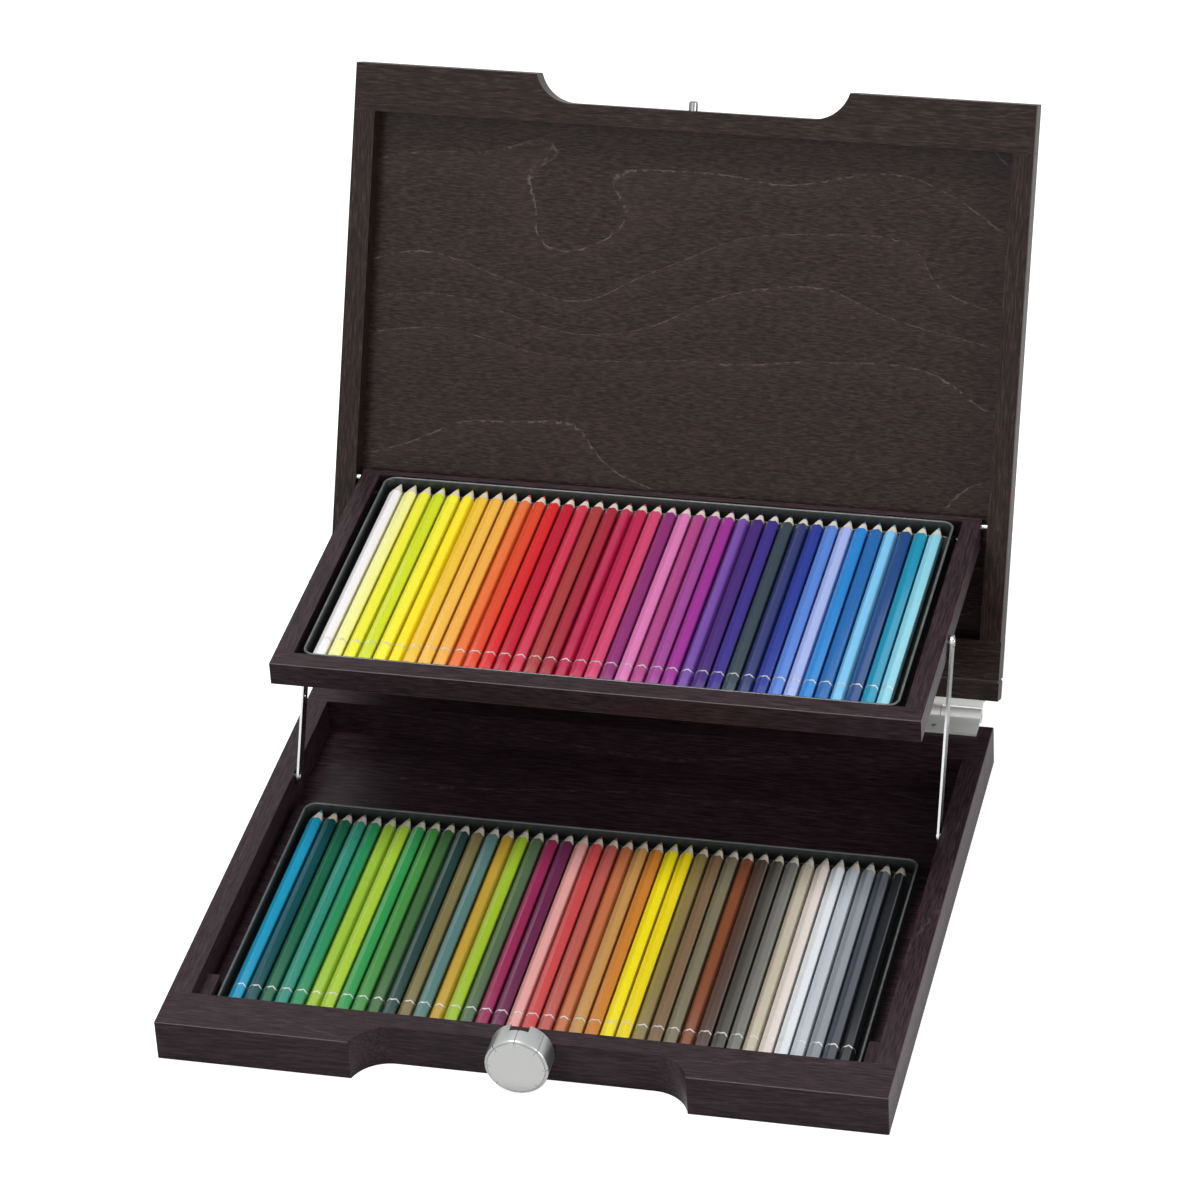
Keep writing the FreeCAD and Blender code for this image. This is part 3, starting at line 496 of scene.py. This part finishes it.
# Cedar pencil dipped in several coats of gloss lacquer, with a hot foil ring near its end and a
# cone of bare wood where it is sharpened. The lacquer's own colour is in the mesh.
def lacqueredPencil(name):
    material, tree = newMaterial(name)
    shape = pencilShape
    look = pencilLook
    lacquer = addNode(tree, "ShaderNodeAttribute", {"attribute_name": "lacquer"})
    bare = addNode(tree, "ShaderNodeAttribute", {"attribute_name": "bare"})
    wrap = addNode(tree, "ShaderNodeUVMap", {"uv_map": "wrap"})
    parts = addNode(tree, "ShaderNodeSeparateXYZ", None, None, {0: wrap.outputs[0]})
    coords = addNode(tree, "ShaderNodeTexCoord")
    # Foil ring: one peak to each flat, from how far round and how far along the point is
    flat = addNode(tree, "ShaderNodeMath", {"operation": "FRACT"}, None, {0: parts.outputs[0]})
    off = addNode(tree, "ShaderNodeMath", {"operation": "SUBTRACT"}, {1: 0.5}, {0: flat.outputs[0]})
    side = addNode(tree, "ShaderNodeMath", {"operation": "ABSOLUTE"}, None, {0: off.outputs[0]})
    middle = addNode(tree, "ShaderNodeMath", {"operation": "MULTIPLY_ADD"},
                     {1: -2 * shape["foilRise"], 2: shape["foilFromButt"] + shape["foilRise"] / 2},
                     {0: side.outputs[0]})
    gap = addNode(tree, "ShaderNodeMath", {"operation": "SUBTRACT"}, None,
                  {0: parts.outputs[1], 1: middle.outputs[0]})
    away = addNode(tree, "ShaderNodeMath", {"operation": "ABSOLUTE"}, None, {0: gap.outputs[0]})
    foil = addNode(tree, "ShaderNodeMath", {"operation": "LESS_THAN"}, {1: shape["foilWidth"] / 2},
                   {0: away.outputs[0]})
    # Fine orange peel and dust in the lacquer
    peel = addNode(tree, "ShaderNodeTexNoise", None, {"Scale": 1 / (look["peelSize"] * mm), "Detail": 2.0},
                   {"Vector": coords.outputs["Object"]})
    dim, bright = look["peelShade"]
    shade = addNode(tree, "ShaderNodeMapRange", None, {"To Min": dim, "To Max": bright},
                    {"Value": peel.outputs[0]})
    paint = addNode(tree, "ShaderNodeVectorMath", {"operation": "SCALE"}, None,
                    {0: lacquer.outputs["Color"], "Scale": shade.outputs[0]})
    bump = addNode(tree, "ShaderNodeBump", None,
                   {"Strength": look["bump"], "Distance": look["bumpDepth"] * mm},
                   {"Height": peel.outputs[0]})
    painted = addNode(tree, "ShaderNodeBsdfPrincipled", None,
                      {"Roughness": look["lacquerRoughness"], "IOR": 1.5, "Coat Weight": look["coat"],
                       "Coat Roughness": look["coatRoughness"]},
                      {"Base Color": paint.outputs[0], "Normal": bump.outputs[0]})
    foiled = addNode(tree, "ShaderNodeBsdfPrincipled", None,
                     {"Base Color": linear(look["foil"]), "Metallic": look["foilMetal"],
                      "Roughness": look["foilRoughness"]}, {"Normal": bump.outputs[0]})
    # Sharpened cedar: straight grain along the cone
    grainSpace = addNode(tree, "ShaderNodeMapping", None, {"Scale": look["cedarGrain"]},
                         {"Vector": coords.outputs["Object"]})
    grain = addNode(tree, "ShaderNodeTexNoise", None, {"Scale": 1.0, "Detail": 2.0},
                    {"Vector": grainSpace.outputs[0]})
    cedar = addNode(tree, "ShaderNodeMix", {"data_type": "RGBA"},
                    {6: linear(look["cedar"]), 7: linear(look["paleCedar"])}, {0: grain.outputs[0]})
    coneWood = addNode(tree, "ShaderNodeBsdfPrincipled", None, {"Roughness": look["cedarRoughness"]},
                       {"Base Color": cedar.outputs[2]})
    # Wax and pigment lead, a little duller than the lacquer
    leadTint = addNode(tree, "ShaderNodeMix", {"data_type": "RGBA"},
                       {0: look["leadDarkShare"], 7: linear(look["leadDark"])}, {6: lacquer.outputs["Color"]})
    lead = addNode(tree, "ShaderNodeBsdfPrincipled", None, {"Roughness": look["leadRoughness"]},
                   {"Base Color": leadTint.outputs[2]})
    isBare = addNode(tree, "ShaderNodeMath", {"operation": "GREATER_THAN"}, {1: 0.0},
                     {0: bare.outputs["Fac"]})
    leadLength = (shape["lead"] - shape["tip"]) * shape["cone"] / (shape["corner"] - shape["tip"])
    isLead = addNode(tree, "ShaderNodeMath", {"operation": "GREATER_THAN"}, {1: shape["length"] - leadLength},
                     {0: parts.outputs[1]})
    withFoil = addNode(tree, "ShaderNodeMixShader", None, None,
                       {0: foil.outputs[0], 1: painted.outputs[0], 2: foiled.outputs[0]})
    withWood = addNode(tree, "ShaderNodeMixShader", None, None,
                       {0: isBare.outputs[0], 1: withFoil.outputs[0], 2: coneWood.outputs[0]})
    withLead = addNode(tree, "ShaderNodeMixShader", None, None,
                       {0: isLead.outputs[0], 1: withWood.outputs[0], 2: lead.outputs[0]})
    addNode(tree, "ShaderNodeOutputMaterial", None, None, {"Surface": withLead.outputs[0]})
    return material


# One pencil along +Y with its butt at y 0: a rounded hexagon, drawn out ring by ring and turned
# down to the sharpener's cone wherever that is the smaller
def pencilMesh():
    shape = pencilShape
    sides, length, tip, dipRound = (shape[key] for key in ("sides", "length", "tip", "dipRound"))
    bm = bmesh.new()
    bmesh.ops.create_circle(bm, cap_ends=False, segments=sides, radius=shape["corner"] * mm)
    bmesh.ops.bevel(bm, geom=list(bm.verts), offset=shape["cornerRound"] * mm, offset_type="OFFSET",
                    segments=2, profile=0.5, affect="VERTICES", material=-1)
    flats = [edge for edge in bm.edges if edge.calc_length() > mm]   # the rounds' own edges are shorter
    bmesh.ops.subdivide_edges(bm, edges=flats, cuts=shape["flatCuts"])
    # The circle lies in XY with a corner at 90 degrees: turned so that a flat is up and it stands in XZ
    bmesh.ops.rotate(bm, verts=bm.verts, cent=(0, 0, 0),
                     matrix=Matrix.Rotation(math.radians(flatTurn / 2), 3, "Z"))
    bmesh.ops.rotate(bm, verts=bm.verts, cent=(0, 0, 0), matrix=Matrix.Rotation(math.radians(90), 3, "X"))
    bareLayer = bm.verts.layers.float.new("bare")
    slope = (shape["corner"] - tip) / shape["cone"]
    start = length - shape["cone"]
    stations = [0.0, dipRound / 2, dipRound] + shape["shaft"] + [start - shape["coneLead"]]
    stations += [start + shape["coneStep"] * step for step in range(shape["coneSteps"])]
    stations += [start + far for far in shape["coneRings"]] + [length - left for left in shape["tipRings"]]
    ring = list(bm.edges)
    firstRing = list(ring)
    outline = {v: Vector((v.co.x, 0, v.co.z)) for v in bm.verts}
    for number, y in enumerate(stations):
        if number:
            known = {v for edge in ring for v in edge.verts}
            ring = grownRing(bm, ring)
            for v in [v for edge in ring for v in edge.verts]:
                if v not in outline:
                    outline[v] = outline[min(known, key=lambda other: (other.co - v.co).length)]
        dip = dipRound - math.sqrt(dipRound ** 2 - (dipRound - y) ** 2) if y < dipRound else 0
        coneRadius = tip + (length - y) * slope
        turnedRadius = coneRadius
        if y > length - shape["leadRound"]:
            turnedRadius = tip * (1.0 if y < length else shape["leadEnd"])
        for v in {v for edge in ring for v in edge.verts}:
            hexRadius = outline[v].length / mm
            v.co = outline[v].normalized() * min(hexRadius - dip, turnedRadius) * mm
            v.co.y = y * mm
            v[bareLayer] = hexRadius - coneRadius
    bmesh.ops.contextual_create(bm, geom=ring)
    bmesh.ops.contextual_create(bm, geom=firstRing)
    bmesh.ops.recalc_face_normals(bm, faces=bm.faces)
    # The wrap map: flats counted round from +X, and mm from the butt
    wrapLayer = bm.loops.layers.uv.new("wrap")
    for face in bm.faces:
        angles = [math.degrees(math.atan2(loop.vert.co.z, loop.vert.co.x)) for loop in face.loops]
        rounds = [(angle % 360) / flatTurn for angle in angles]
        if max(rounds) - min(rounds) > sides / 2:
            rounds = [turn + sides if turn < sides / 2 else turn for turn in rounds]
        for loop, turn in zip(face.loops, rounds):
            loop[wrapLayer].uv = (turn, loop.vert.co.y / mm)
    return meshFrom(bm, "onePencil")


onePencil = pencilMesh()
pencilFinish = lacqueredPencil("glossLacqueredCedar")


# A family's pencils side by side in their tin, as one piece that carries their colours
def makePencils(row, family, colours, body):
    node = row + "_pencils_" + family
    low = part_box(node)[0]
    bm = bmesh.new()
    lacquerLayer = bm.verts.layers.float_color.new("lacquer")
    for place, hexCode in enumerate(colours.values()):
        start = len(bm.verts)
        bm.from_mesh(onePencil)
        bm.verts.ensure_lookup_table()
        fresh = bm.verts[start:]
        x = low[0] + (pencilShape["corner"] + place * pencilShape["pitch"]) * mm
        # Each lies turned a little between its neighbours, so its centre is higher than on a flat
        turn = math.radians(pencilShape["turns"][place % len(pencilShape["turns"])])
        rest = low[2] + pencilShape["corner"] * math.cos(math.radians(flatTurn / 2) - turn) * mm
        bmesh.ops.rotate(bm, verts=fresh, cent=(0, 0, 0), matrix=Matrix.Rotation(turn, 3, "Y"))
        bmesh.ops.translate(bm, verts=fresh, vec=(x, low[1], rest))
        for v in fresh:
            v[lacquerLayer] = linear(hexCode)
    name = row + family.capitalize() + "Pencils"
    piece = addPiece(name, meshFrom(bm, name), pencilFinish, pencilShape["smoothAngle"])
    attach(piece, body)
    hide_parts(node)


for family, colours in upperFamilies.items():
    makePencils("upper", family, colours, "tray")
for family, colours in lowerFamilies.items():
    makePencils("lower", family, colours, "base")
print("pencils made")


knobShape = {
    "height": 18.5, "front": -162.5, "back": -147.6, "radius": 16.6, "backEase": 0.3,
    "steps": 144, "smoothAngle": 30, "chamfer": 1.1,
    "chamferRound": [(0.08, 0.62), (0.32, 0.29), (0.68, 0.07)],     # (mm in, share of the chamfer back)
    "capRadius": 15.0, "capThick": 1.8, "capProud": 0.25, "capEdge": 0.35, "capEase": 0.1, "capGap": 0.12,
    "capRing": 0.5,     # share of the cap's radius, where its face has a ring of points
    "pocket": 5.4, "web": -157.7, "bore": 3.06, "boss": 9.2, "groove": 15.2, "grooveDeep": 5.5,
    "slotWide": 10.0, "slotFromBoss": 3.0,
    "ticks": 8, "tickWide": 0.7, "tickDeep": 0.45, "tickOnFace": 3.2, "tickBackGap": 2.0, "tickRimGap": 0.2,
    "overrun": 1.0,     # mm that a cutter goes past what it cuts
}
# The body's tone is darker than the cap's: painted shade for the darker surroundings its side reflects
knobAluminium = satinAluminium("satinAnodisedAluminium", "B9BBBA", roughness=0.33)
turnedAluminium = satinAluminium("turnedAnodisedAluminium", "C7C7C6", roughness=0.38,
                                 latheHeight=knobShape["height"])


# A full turn about the knob's axis, from (radius, y) points in mm
def turnedMesh(points, name, steps, closed):
    bm = bmesh.new()
    ring = [bm.verts.new((radius * mm, y * mm, 0)) for radius, y in points]
    edges = [bm.edges.new(pair) for pair in zip(ring, ring[1:])]
    if closed:
        edges.append(bm.edges.new((ring[-1], ring[0])))
    bmesh.ops.spin(bm, geom=ring + edges, cent=(0, 0, 0), axis=(0, 1, 0), angle=2 * math.pi, steps=steps,
                   use_merge=True, use_duplicate=False)
    bmesh.ops.remove_doubles(bm, verts=bm.verts, dist=mergeWithin)
    bmesh.ops.recalc_face_normals(bm, faces=bm.faces)
    bmesh.ops.translate(bm, verts=bm.verts, vec=(0, 0, knobShape["height"] * mm))
    return meshFrom(bm, name)


# A block centred on x 0 from y and z ranges in mm, turned about the knob's axis
def addBlock(bm, wide, alongY, outwards, turn=0.0):
    low = (-wide / 2 * mm, alongY[0] * mm, outwards[0] * mm)
    high = (wide / 2 * mm, alongY[1] * mm, outwards[1] * mm)
    made = bmesh.ops.create_cube(bm, size=1.0)["verts"]
    bmesh.ops.scale(bm, vec=[high[i] - low[i] for i in range(3)], verts=made)
    bmesh.ops.translate(bm, vec=[(high[i] + low[i]) / 2 for i in range(3)], verts=made)
    bmesh.ops.rotate(bm, verts=made, cent=(0, 0, 0), matrix=Matrix.Rotation(turn, 3, "Y"))


def cutWith(piece, cuts):
    name = piece.name + "Cuts"
    cutter = bpy.data.objects.new(name, meshFrom(cuts, name))
    bpy.context.scene.collection.objects.link(cutter)
    cut = piece.modifiers.new(name, "BOOLEAN")
    cut.operation = "DIFFERENCE"
    cut.solver = "EXACT"
    cut.use_self = True   # the cutter's blocks cross each other
    cut.object = cutter
    bpy.context.view_layer.objects.active = piece
    bpy.ops.object.modifier_apply(modifier=name)
    bpy.data.objects.remove(cutter)


# The turned body with its ring groove and the slot into it, the cap let into its front, and the
# ticks sawn across the body's rim and side and across the cap's rim
def makeKnob():
    s = knobShape
    front, back, radius = s["front"], s["back"], s["radius"]
    capRadius, over = s["capRadius"], s["overrun"]
    seat = front + s["capThick"]
    grooveEnd = back - s["grooveDeep"]
    frontRound = [(radius - inward, front + share * s["chamfer"]) for inward, share in s["chamferRound"]]
    bodyPoints = [
        (s["bore"], back), (s["boss"], back), (s["boss"], grooveEnd), (s["groove"], grooveEnd),
        (s["groove"], back), (radius - s["backEase"], back), (radius, back - s["backEase"]),
        (radius, front + s["chamfer"])] + frontRound + [
        (radius - s["chamfer"], front), (capRadius + s["capGap"], front), (capRadius + s["capGap"], seat),
        (s["pocket"], seat), (s["pocket"], s["web"]), (s["bore"], s["web"])]
    capFace = front - s["capProud"]
    capPoints = [
        (0, seat), (capRadius, seat), (capRadius, front + s["capEase"]),
        (capRadius - s["capEase"], capFace + s["capEase"]), (capRadius - s["capEdge"], capFace),
        (capRadius * s["capRing"], capFace), (0, capFace)]
    body = addPiece("knobBody", turnedMesh(bodyPoints, "knobBody", s["steps"], True), knobAluminium)
    cap = addPiece("knobCap", turnedMesh(capPoints, "knobCap", s["steps"], False), turnedAluminium)
    bodyCuts = bmesh.new()
    capCuts = bmesh.new()
    for tick in range(s["ticks"]):
        angle = 2 * math.pi * tick / s["ticks"]
        inner = radius - s["tickOnFace"]
        addBlock(capCuts, s["tickWide"], (front - over, front + s["capEase"]),
                 (inner, capRadius + over), angle)
        addBlock(bodyCuts, s["tickWide"], (front - over, back - s["tickBackGap"]),
                 (radius - s["tickDeep"], radius + over), angle)
        addBlock(bodyCuts, s["tickWide"], (front - over, front + s["tickDeep"]),
                 (inner, radius - s["tickRimGap"]), angle)
    addBlock(bodyCuts, s["slotWide"], (grooveEnd, back + over),
             (s["boss"] + s["slotFromBoss"], radius + 2 * over))
    for piece, node, cuts in ((body, "knob_body", bodyCuts), (cap, "knob_cap", capCuts)):
        bmesh.ops.translate(cuts, verts=cuts.verts, vec=(0, 0, s["height"] * mm))
        cutWith(piece, cuts)
        smoothFaces(piece.data, s["smoothAngle"])
        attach(piece, "knob")
        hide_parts(node)


makeKnob()
print("knob made")


screwShape = {
    "headHigh": 0.6, "sunk": 0.1, "steps": 28, "smoothAngle": 35,     # mm, and degrees
    "dome": [(0.0, 1.0), (0.55, 0.86), (0.88, 0.5), (1.0, 0.1)],     # shares of the head's radius and height
    "crossLong": 1.7, "crossWide": 0.4, "crossDeep": 0.4, "crossTurn": 0.5,     # mm, and radians
}


# Oval-head screws with a cross recess, one mesh for each carrier: seats and headRadius are in mm,
# and out is the way out of the surface
def makeScrews(name, seats, out, headRadius, body):
    s = screwShape
    high = s["headHigh"] * mm
    turn = Vector((0, 0, 1)).rotation_difference(Vector(out).normalized()).to_matrix().to_4x4()
    bm = bmesh.new()
    crosses = bmesh.new()
    for seat in seats:
        place = Matrix.Translation(Vector(seat) * mm) @ turn
        before = set(bm.verts)
        ring = [bm.verts.new((part * headRadius * mm, 0, rise * high)) for part, rise in s["dome"]]
        ring += [bm.verts.new((headRadius * mm, 0, -s["sunk"] * mm)), bm.verts.new((0, 0, -s["sunk"] * mm))]
        edges = [bm.edges.new(pair) for pair in zip(ring, ring[1:])]
        bmesh.ops.spin(bm, geom=ring + edges, cent=(0, 0, 0), axis=(0, 0, 1), angle=2 * math.pi,
                       steps=s["steps"], use_merge=True, use_duplicate=False)
        bmesh.ops.transform(bm, matrix=place, verts=[v for v in bm.verts if v not in before])
        for quarter in (0, 1):
            bar = bmesh.ops.create_cube(crosses, size=1.0)["verts"]
            bmesh.ops.scale(crosses, vec=(s["crossLong"] * mm, s["crossWide"] * mm, 2 * s["crossDeep"] * mm),
                            verts=bar)
            bmesh.ops.rotate(crosses, verts=bar, cent=(0, 0, 0),
                             matrix=Matrix.Rotation(quarter * math.pi / 2 + s["crossTurn"], 3, "Z"))
            bmesh.ops.translate(crosses, verts=bar, vec=(0, 0, high))
            bmesh.ops.transform(crosses, matrix=place, verts=bar)
    bmesh.ops.remove_doubles(bm, verts=bm.verts, dist=mergeWithin)
    bmesh.ops.recalc_face_normals(bm, faces=bm.faces)
    piece = addPiece(name, meshFrom(bm, name), screwSteel, s["smoothAngle"])
    cutWith(piece, crosses)
    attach(piece, body)


screwPlaces = {
    "hingeX": 148.9, "hingeApart": 9.0,                     # mm from the middle, and each way from there
    "baseLeaf": (157.4, 24.68), "lidLeaf": (181.4, 26.7),   # (y, z) of the heads' seats
    "lidLeafOut": (0, -0.454, -0.891),                      # out of the lid's leaf in the open pose
    "trayX": 161.7, "trayY": (42.3, 216.7), "trayZ": 107.98,
    "hingeHead": 1.7, "trayHead": 1.5,                      # radii
}
hingeX = [side * (screwPlaces["hingeX"] + screwPlaces["hingeApart"] * way)
          for side in (-1, 1) for way in (-1, 1)]
traySeats = [(side * screwPlaces["trayX"], y, screwPlaces["trayZ"])
             for side in (-1, 1) for y in screwPlaces["trayY"]]
makeScrews("baseHingeScrews", [(x, *screwPlaces["baseLeaf"]) for x in hingeX], (0, 0, 1),
           screwPlaces["hingeHead"], "base")
makeScrews("lidHingeScrews", [(x, *screwPlaces["lidLeaf"]) for x in hingeX], screwPlaces["lidLeafOut"],
           screwPlaces["hingeHead"], "lid")
makeScrews("trayFloorScrews", traySeats, (0, 0, 1), screwPlaces["trayHead"], "tray")
print("screws made")


finishes = [
    (woods["across"], ["base_front_rail", "base_rear_rail", "tray_front_rail", "tray_rear_rail"]),
    (woods["depthwise"], ["base_left_rail", "base_right_rail", "tray_left_rail", "tray_right_rail",
                          "tray_rest_blocks"]),
    (woods["lidAcross"], ["lid_front_rail", "lid_rear_rail", "lid_hinge_rail"]),
    (woods["lidDepthwise"], ["lid_left_rail", "lid_right_rail"]),
    (woods["panel"], ["lid_panel"]),
    (woods["floor"], ["base_floor", "tray_floor"]),
    (woods["beech"], ["base_tenons", "lid_tenons"]),
    (hingeAluminium, ["hinge_base_leaves", "hinge_lid_leaves"]),
    (plated, ["hinge_pins", "knob_screw", "link_base_pins", "link_tray_pins", "left_link", "right_link",
              "tray_pivot_pins"]),
    (chrome, ["catch_pin"]),
    (foamSheet("foamSheetLower", "lower_liner"), ["lower_liner"]),
    (foamSheet("foamSheetUpper", "upper_liner"), ["upper_liner"]),
]
for finish, names in finishes:
    for name in names:
        for slotHolder in nodes[name].material_slots:
            slotHolder.material = finish
print("finishes given to", sum(len(names) for finish, names in finishes), "nodes")


studio = {
    "floorHalf": 3.0, "floorDrop": 0.02,      # metres, and mm below the box
    "ambient": 0.25, "floorGlow": 0.8, "floorInMetal": 0.25, "paper": ("D2D2D2", "D8D8D8"), "fibres": 400.0,
    "lamps": {
        "key": {"size": 0.7, "power": 31.0, "place": (-0.45, 0.1, 2.2), "aim": (0, 0.05, 0.05)},
        "fill": {"size": 1.6, "power": 9.0, "place": (-0.6, -1.6, 1.5), "aim": (0, 0.05, 0.08)},
        "side": {"size": 1.0, "power": 16.0, "place": (1.7, -0.5, 0.7), "aim": (0.1, 0.1, 0.05)},
    },
}


# White paper sweep: it keeps the shadow, and only its look to the camera and in the metal is
# lifted to white
def paperWhite():
    material, tree = newMaterial("whitePaperSweep")
    coords = addNode(tree, "ShaderNodeTexCoord")
    fibre = addNode(tree, "ShaderNodeTexNoise", None, {"Scale": studio["fibres"]},
                    {"Vector": coords.outputs["Object"]})
    grey, pale = (linear(hexCode) for hexCode in studio["paper"])
    tint = addNode(tree, "ShaderNodeMix", {"data_type": "RGBA"}, {6: grey, 7: pale}, {0: fibre.outputs[0]})
    light = addNode(tree, "ShaderNodeLightPath")
    seen = addNode(tree, "ShaderNodeMath", {"operation": "MAXIMUM"}, None,
                   {0: light.outputs["Is Camera Ray"], 1: light.outputs["Is Transmission Ray"]})
    direct = addNode(tree, "ShaderNodeMath", {"operation": "MULTIPLY"}, {1: studio["floorGlow"]},
                     {0: seen.outputs[0]})
    strength = addNode(tree, "ShaderNodeMath", {"operation": "MULTIPLY_ADD"}, {1: studio["floorInMetal"]},
                       {0: light.outputs["Is Glossy Ray"], 2: direct.outputs[0]})
    paper = addNode(tree, "ShaderNodeBsdfDiffuse", None, None, {"Color": tint.outputs[2]})
    glow = addNode(tree, "ShaderNodeEmission", None, {"Color": (1, 1, 1, 1)},
                   {"Strength": strength.outputs[0]})
    both = addNode(tree, "ShaderNodeAddShader", None, None, {0: paper.outputs[0], 1: glow.outputs[0]})
    addNode(tree, "ShaderNodeOutputMaterial", None, None, {"Surface": both.outputs[0]})
    return material


bm = bmesh.new()
bmesh.ops.create_grid(bm, x_segments=4, y_segments=4, size=studio["floorHalf"])
bmesh.ops.translate(bm, verts=bm.verts, vec=(0, 0, cadBox[0][2] - studio["floorDrop"] * mm))
sweep = addPiece("paperSweep", meshFrom(bm, "paperSweep"), paperWhite())

# The world lights the box dimly, and the camera and the metal see it white
world = bpy.data.worlds.new("studioWorld")
bpy.context.scene.world = world
world.use_nodes = True
tree = world.node_tree
tree.nodes.clear()
light = addNode(tree, "ShaderNodeLightPath")
seen = addNode(tree, "ShaderNodeMath", {"operation": "MAXIMUM"}, None,
               {0: light.outputs["Is Camera Ray"], 1: light.outputs["Is Transmission Ray"]})
mirrored = addNode(tree, "ShaderNodeMath", {"operation": "MAXIMUM"}, None,
                   {0: seen.outputs[0], 1: light.outputs["Is Glossy Ray"]})
strength = addNode(tree, "ShaderNodeMapRange", None, {"To Min": studio["ambient"], "To Max": 1.0},
                   {"Value": mirrored.outputs[0]})
sky = addNode(tree, "ShaderNodeBackground", None, {"Color": (1, 1, 1, 1)}, {"Strength": strength.outputs[0]})
addNode(tree, "ShaderNodeOutputWorld", None, None, {"Surface": sky.outputs[0]})

for name, facts in studio["lamps"].items():
    lamp = bpy.data.lights.new(name, "AREA")
    lamp.shape = "SQUARE"
    lamp.size = facts["size"]
    lamp.energy = facts["power"]
    holder = bpy.data.objects.new(name, lamp)
    bpy.context.scene.collection.objects.link(holder)
    holder.location = facts["place"]
    ray = Vector(facts["aim"]) - Vector(facts["place"])
    holder.rotation_euler = ray.to_track_quat("-Z", "Y").to_euler()

viewpoint = {
    "place": (0.576079, -2.154973, 1.662287), "yaw": -14.59, "down": 33.373, "roll": -3.284,   # degrees
    "lens": 157.34, "sensor": 36.0, "farthest": 20.0,
}
yaw, down, roll = (math.radians(viewpoint[key]) for key in ("yaw", "down", "roll"))
ahead = Vector((math.sin(yaw) * math.cos(down), math.cos(yaw) * math.cos(down), -math.sin(down)))
right = Vector((math.cos(yaw), -math.sin(yaw), 0))
up = right.cross(ahead)
rightRolled = math.cos(roll) * right + math.sin(roll) * up
upRolled = math.cos(roll) * up - math.sin(roll) * right
cameraData = bpy.data.cameras.new("photographView")
cameraData.sensor_fit = "HORIZONTAL"
cameraData.sensor_width = viewpoint["sensor"]
cameraData.lens = viewpoint["lens"]
cameraData.clip_end = viewpoint["farthest"]
camera = bpy.data.objects.new("photographView", cameraData)
bpy.context.scene.collection.objects.link(camera)
turn = Matrix((rightRolled, upRolled, -ahead)).transposed().to_4x4()
camera.matrix_world = Matrix.Translation(viewpoint["place"]) @ turn
bpy.context.scene.camera = camera
bpy.context.scene.view_settings.view_transform = "Standard"
print("studio ready")
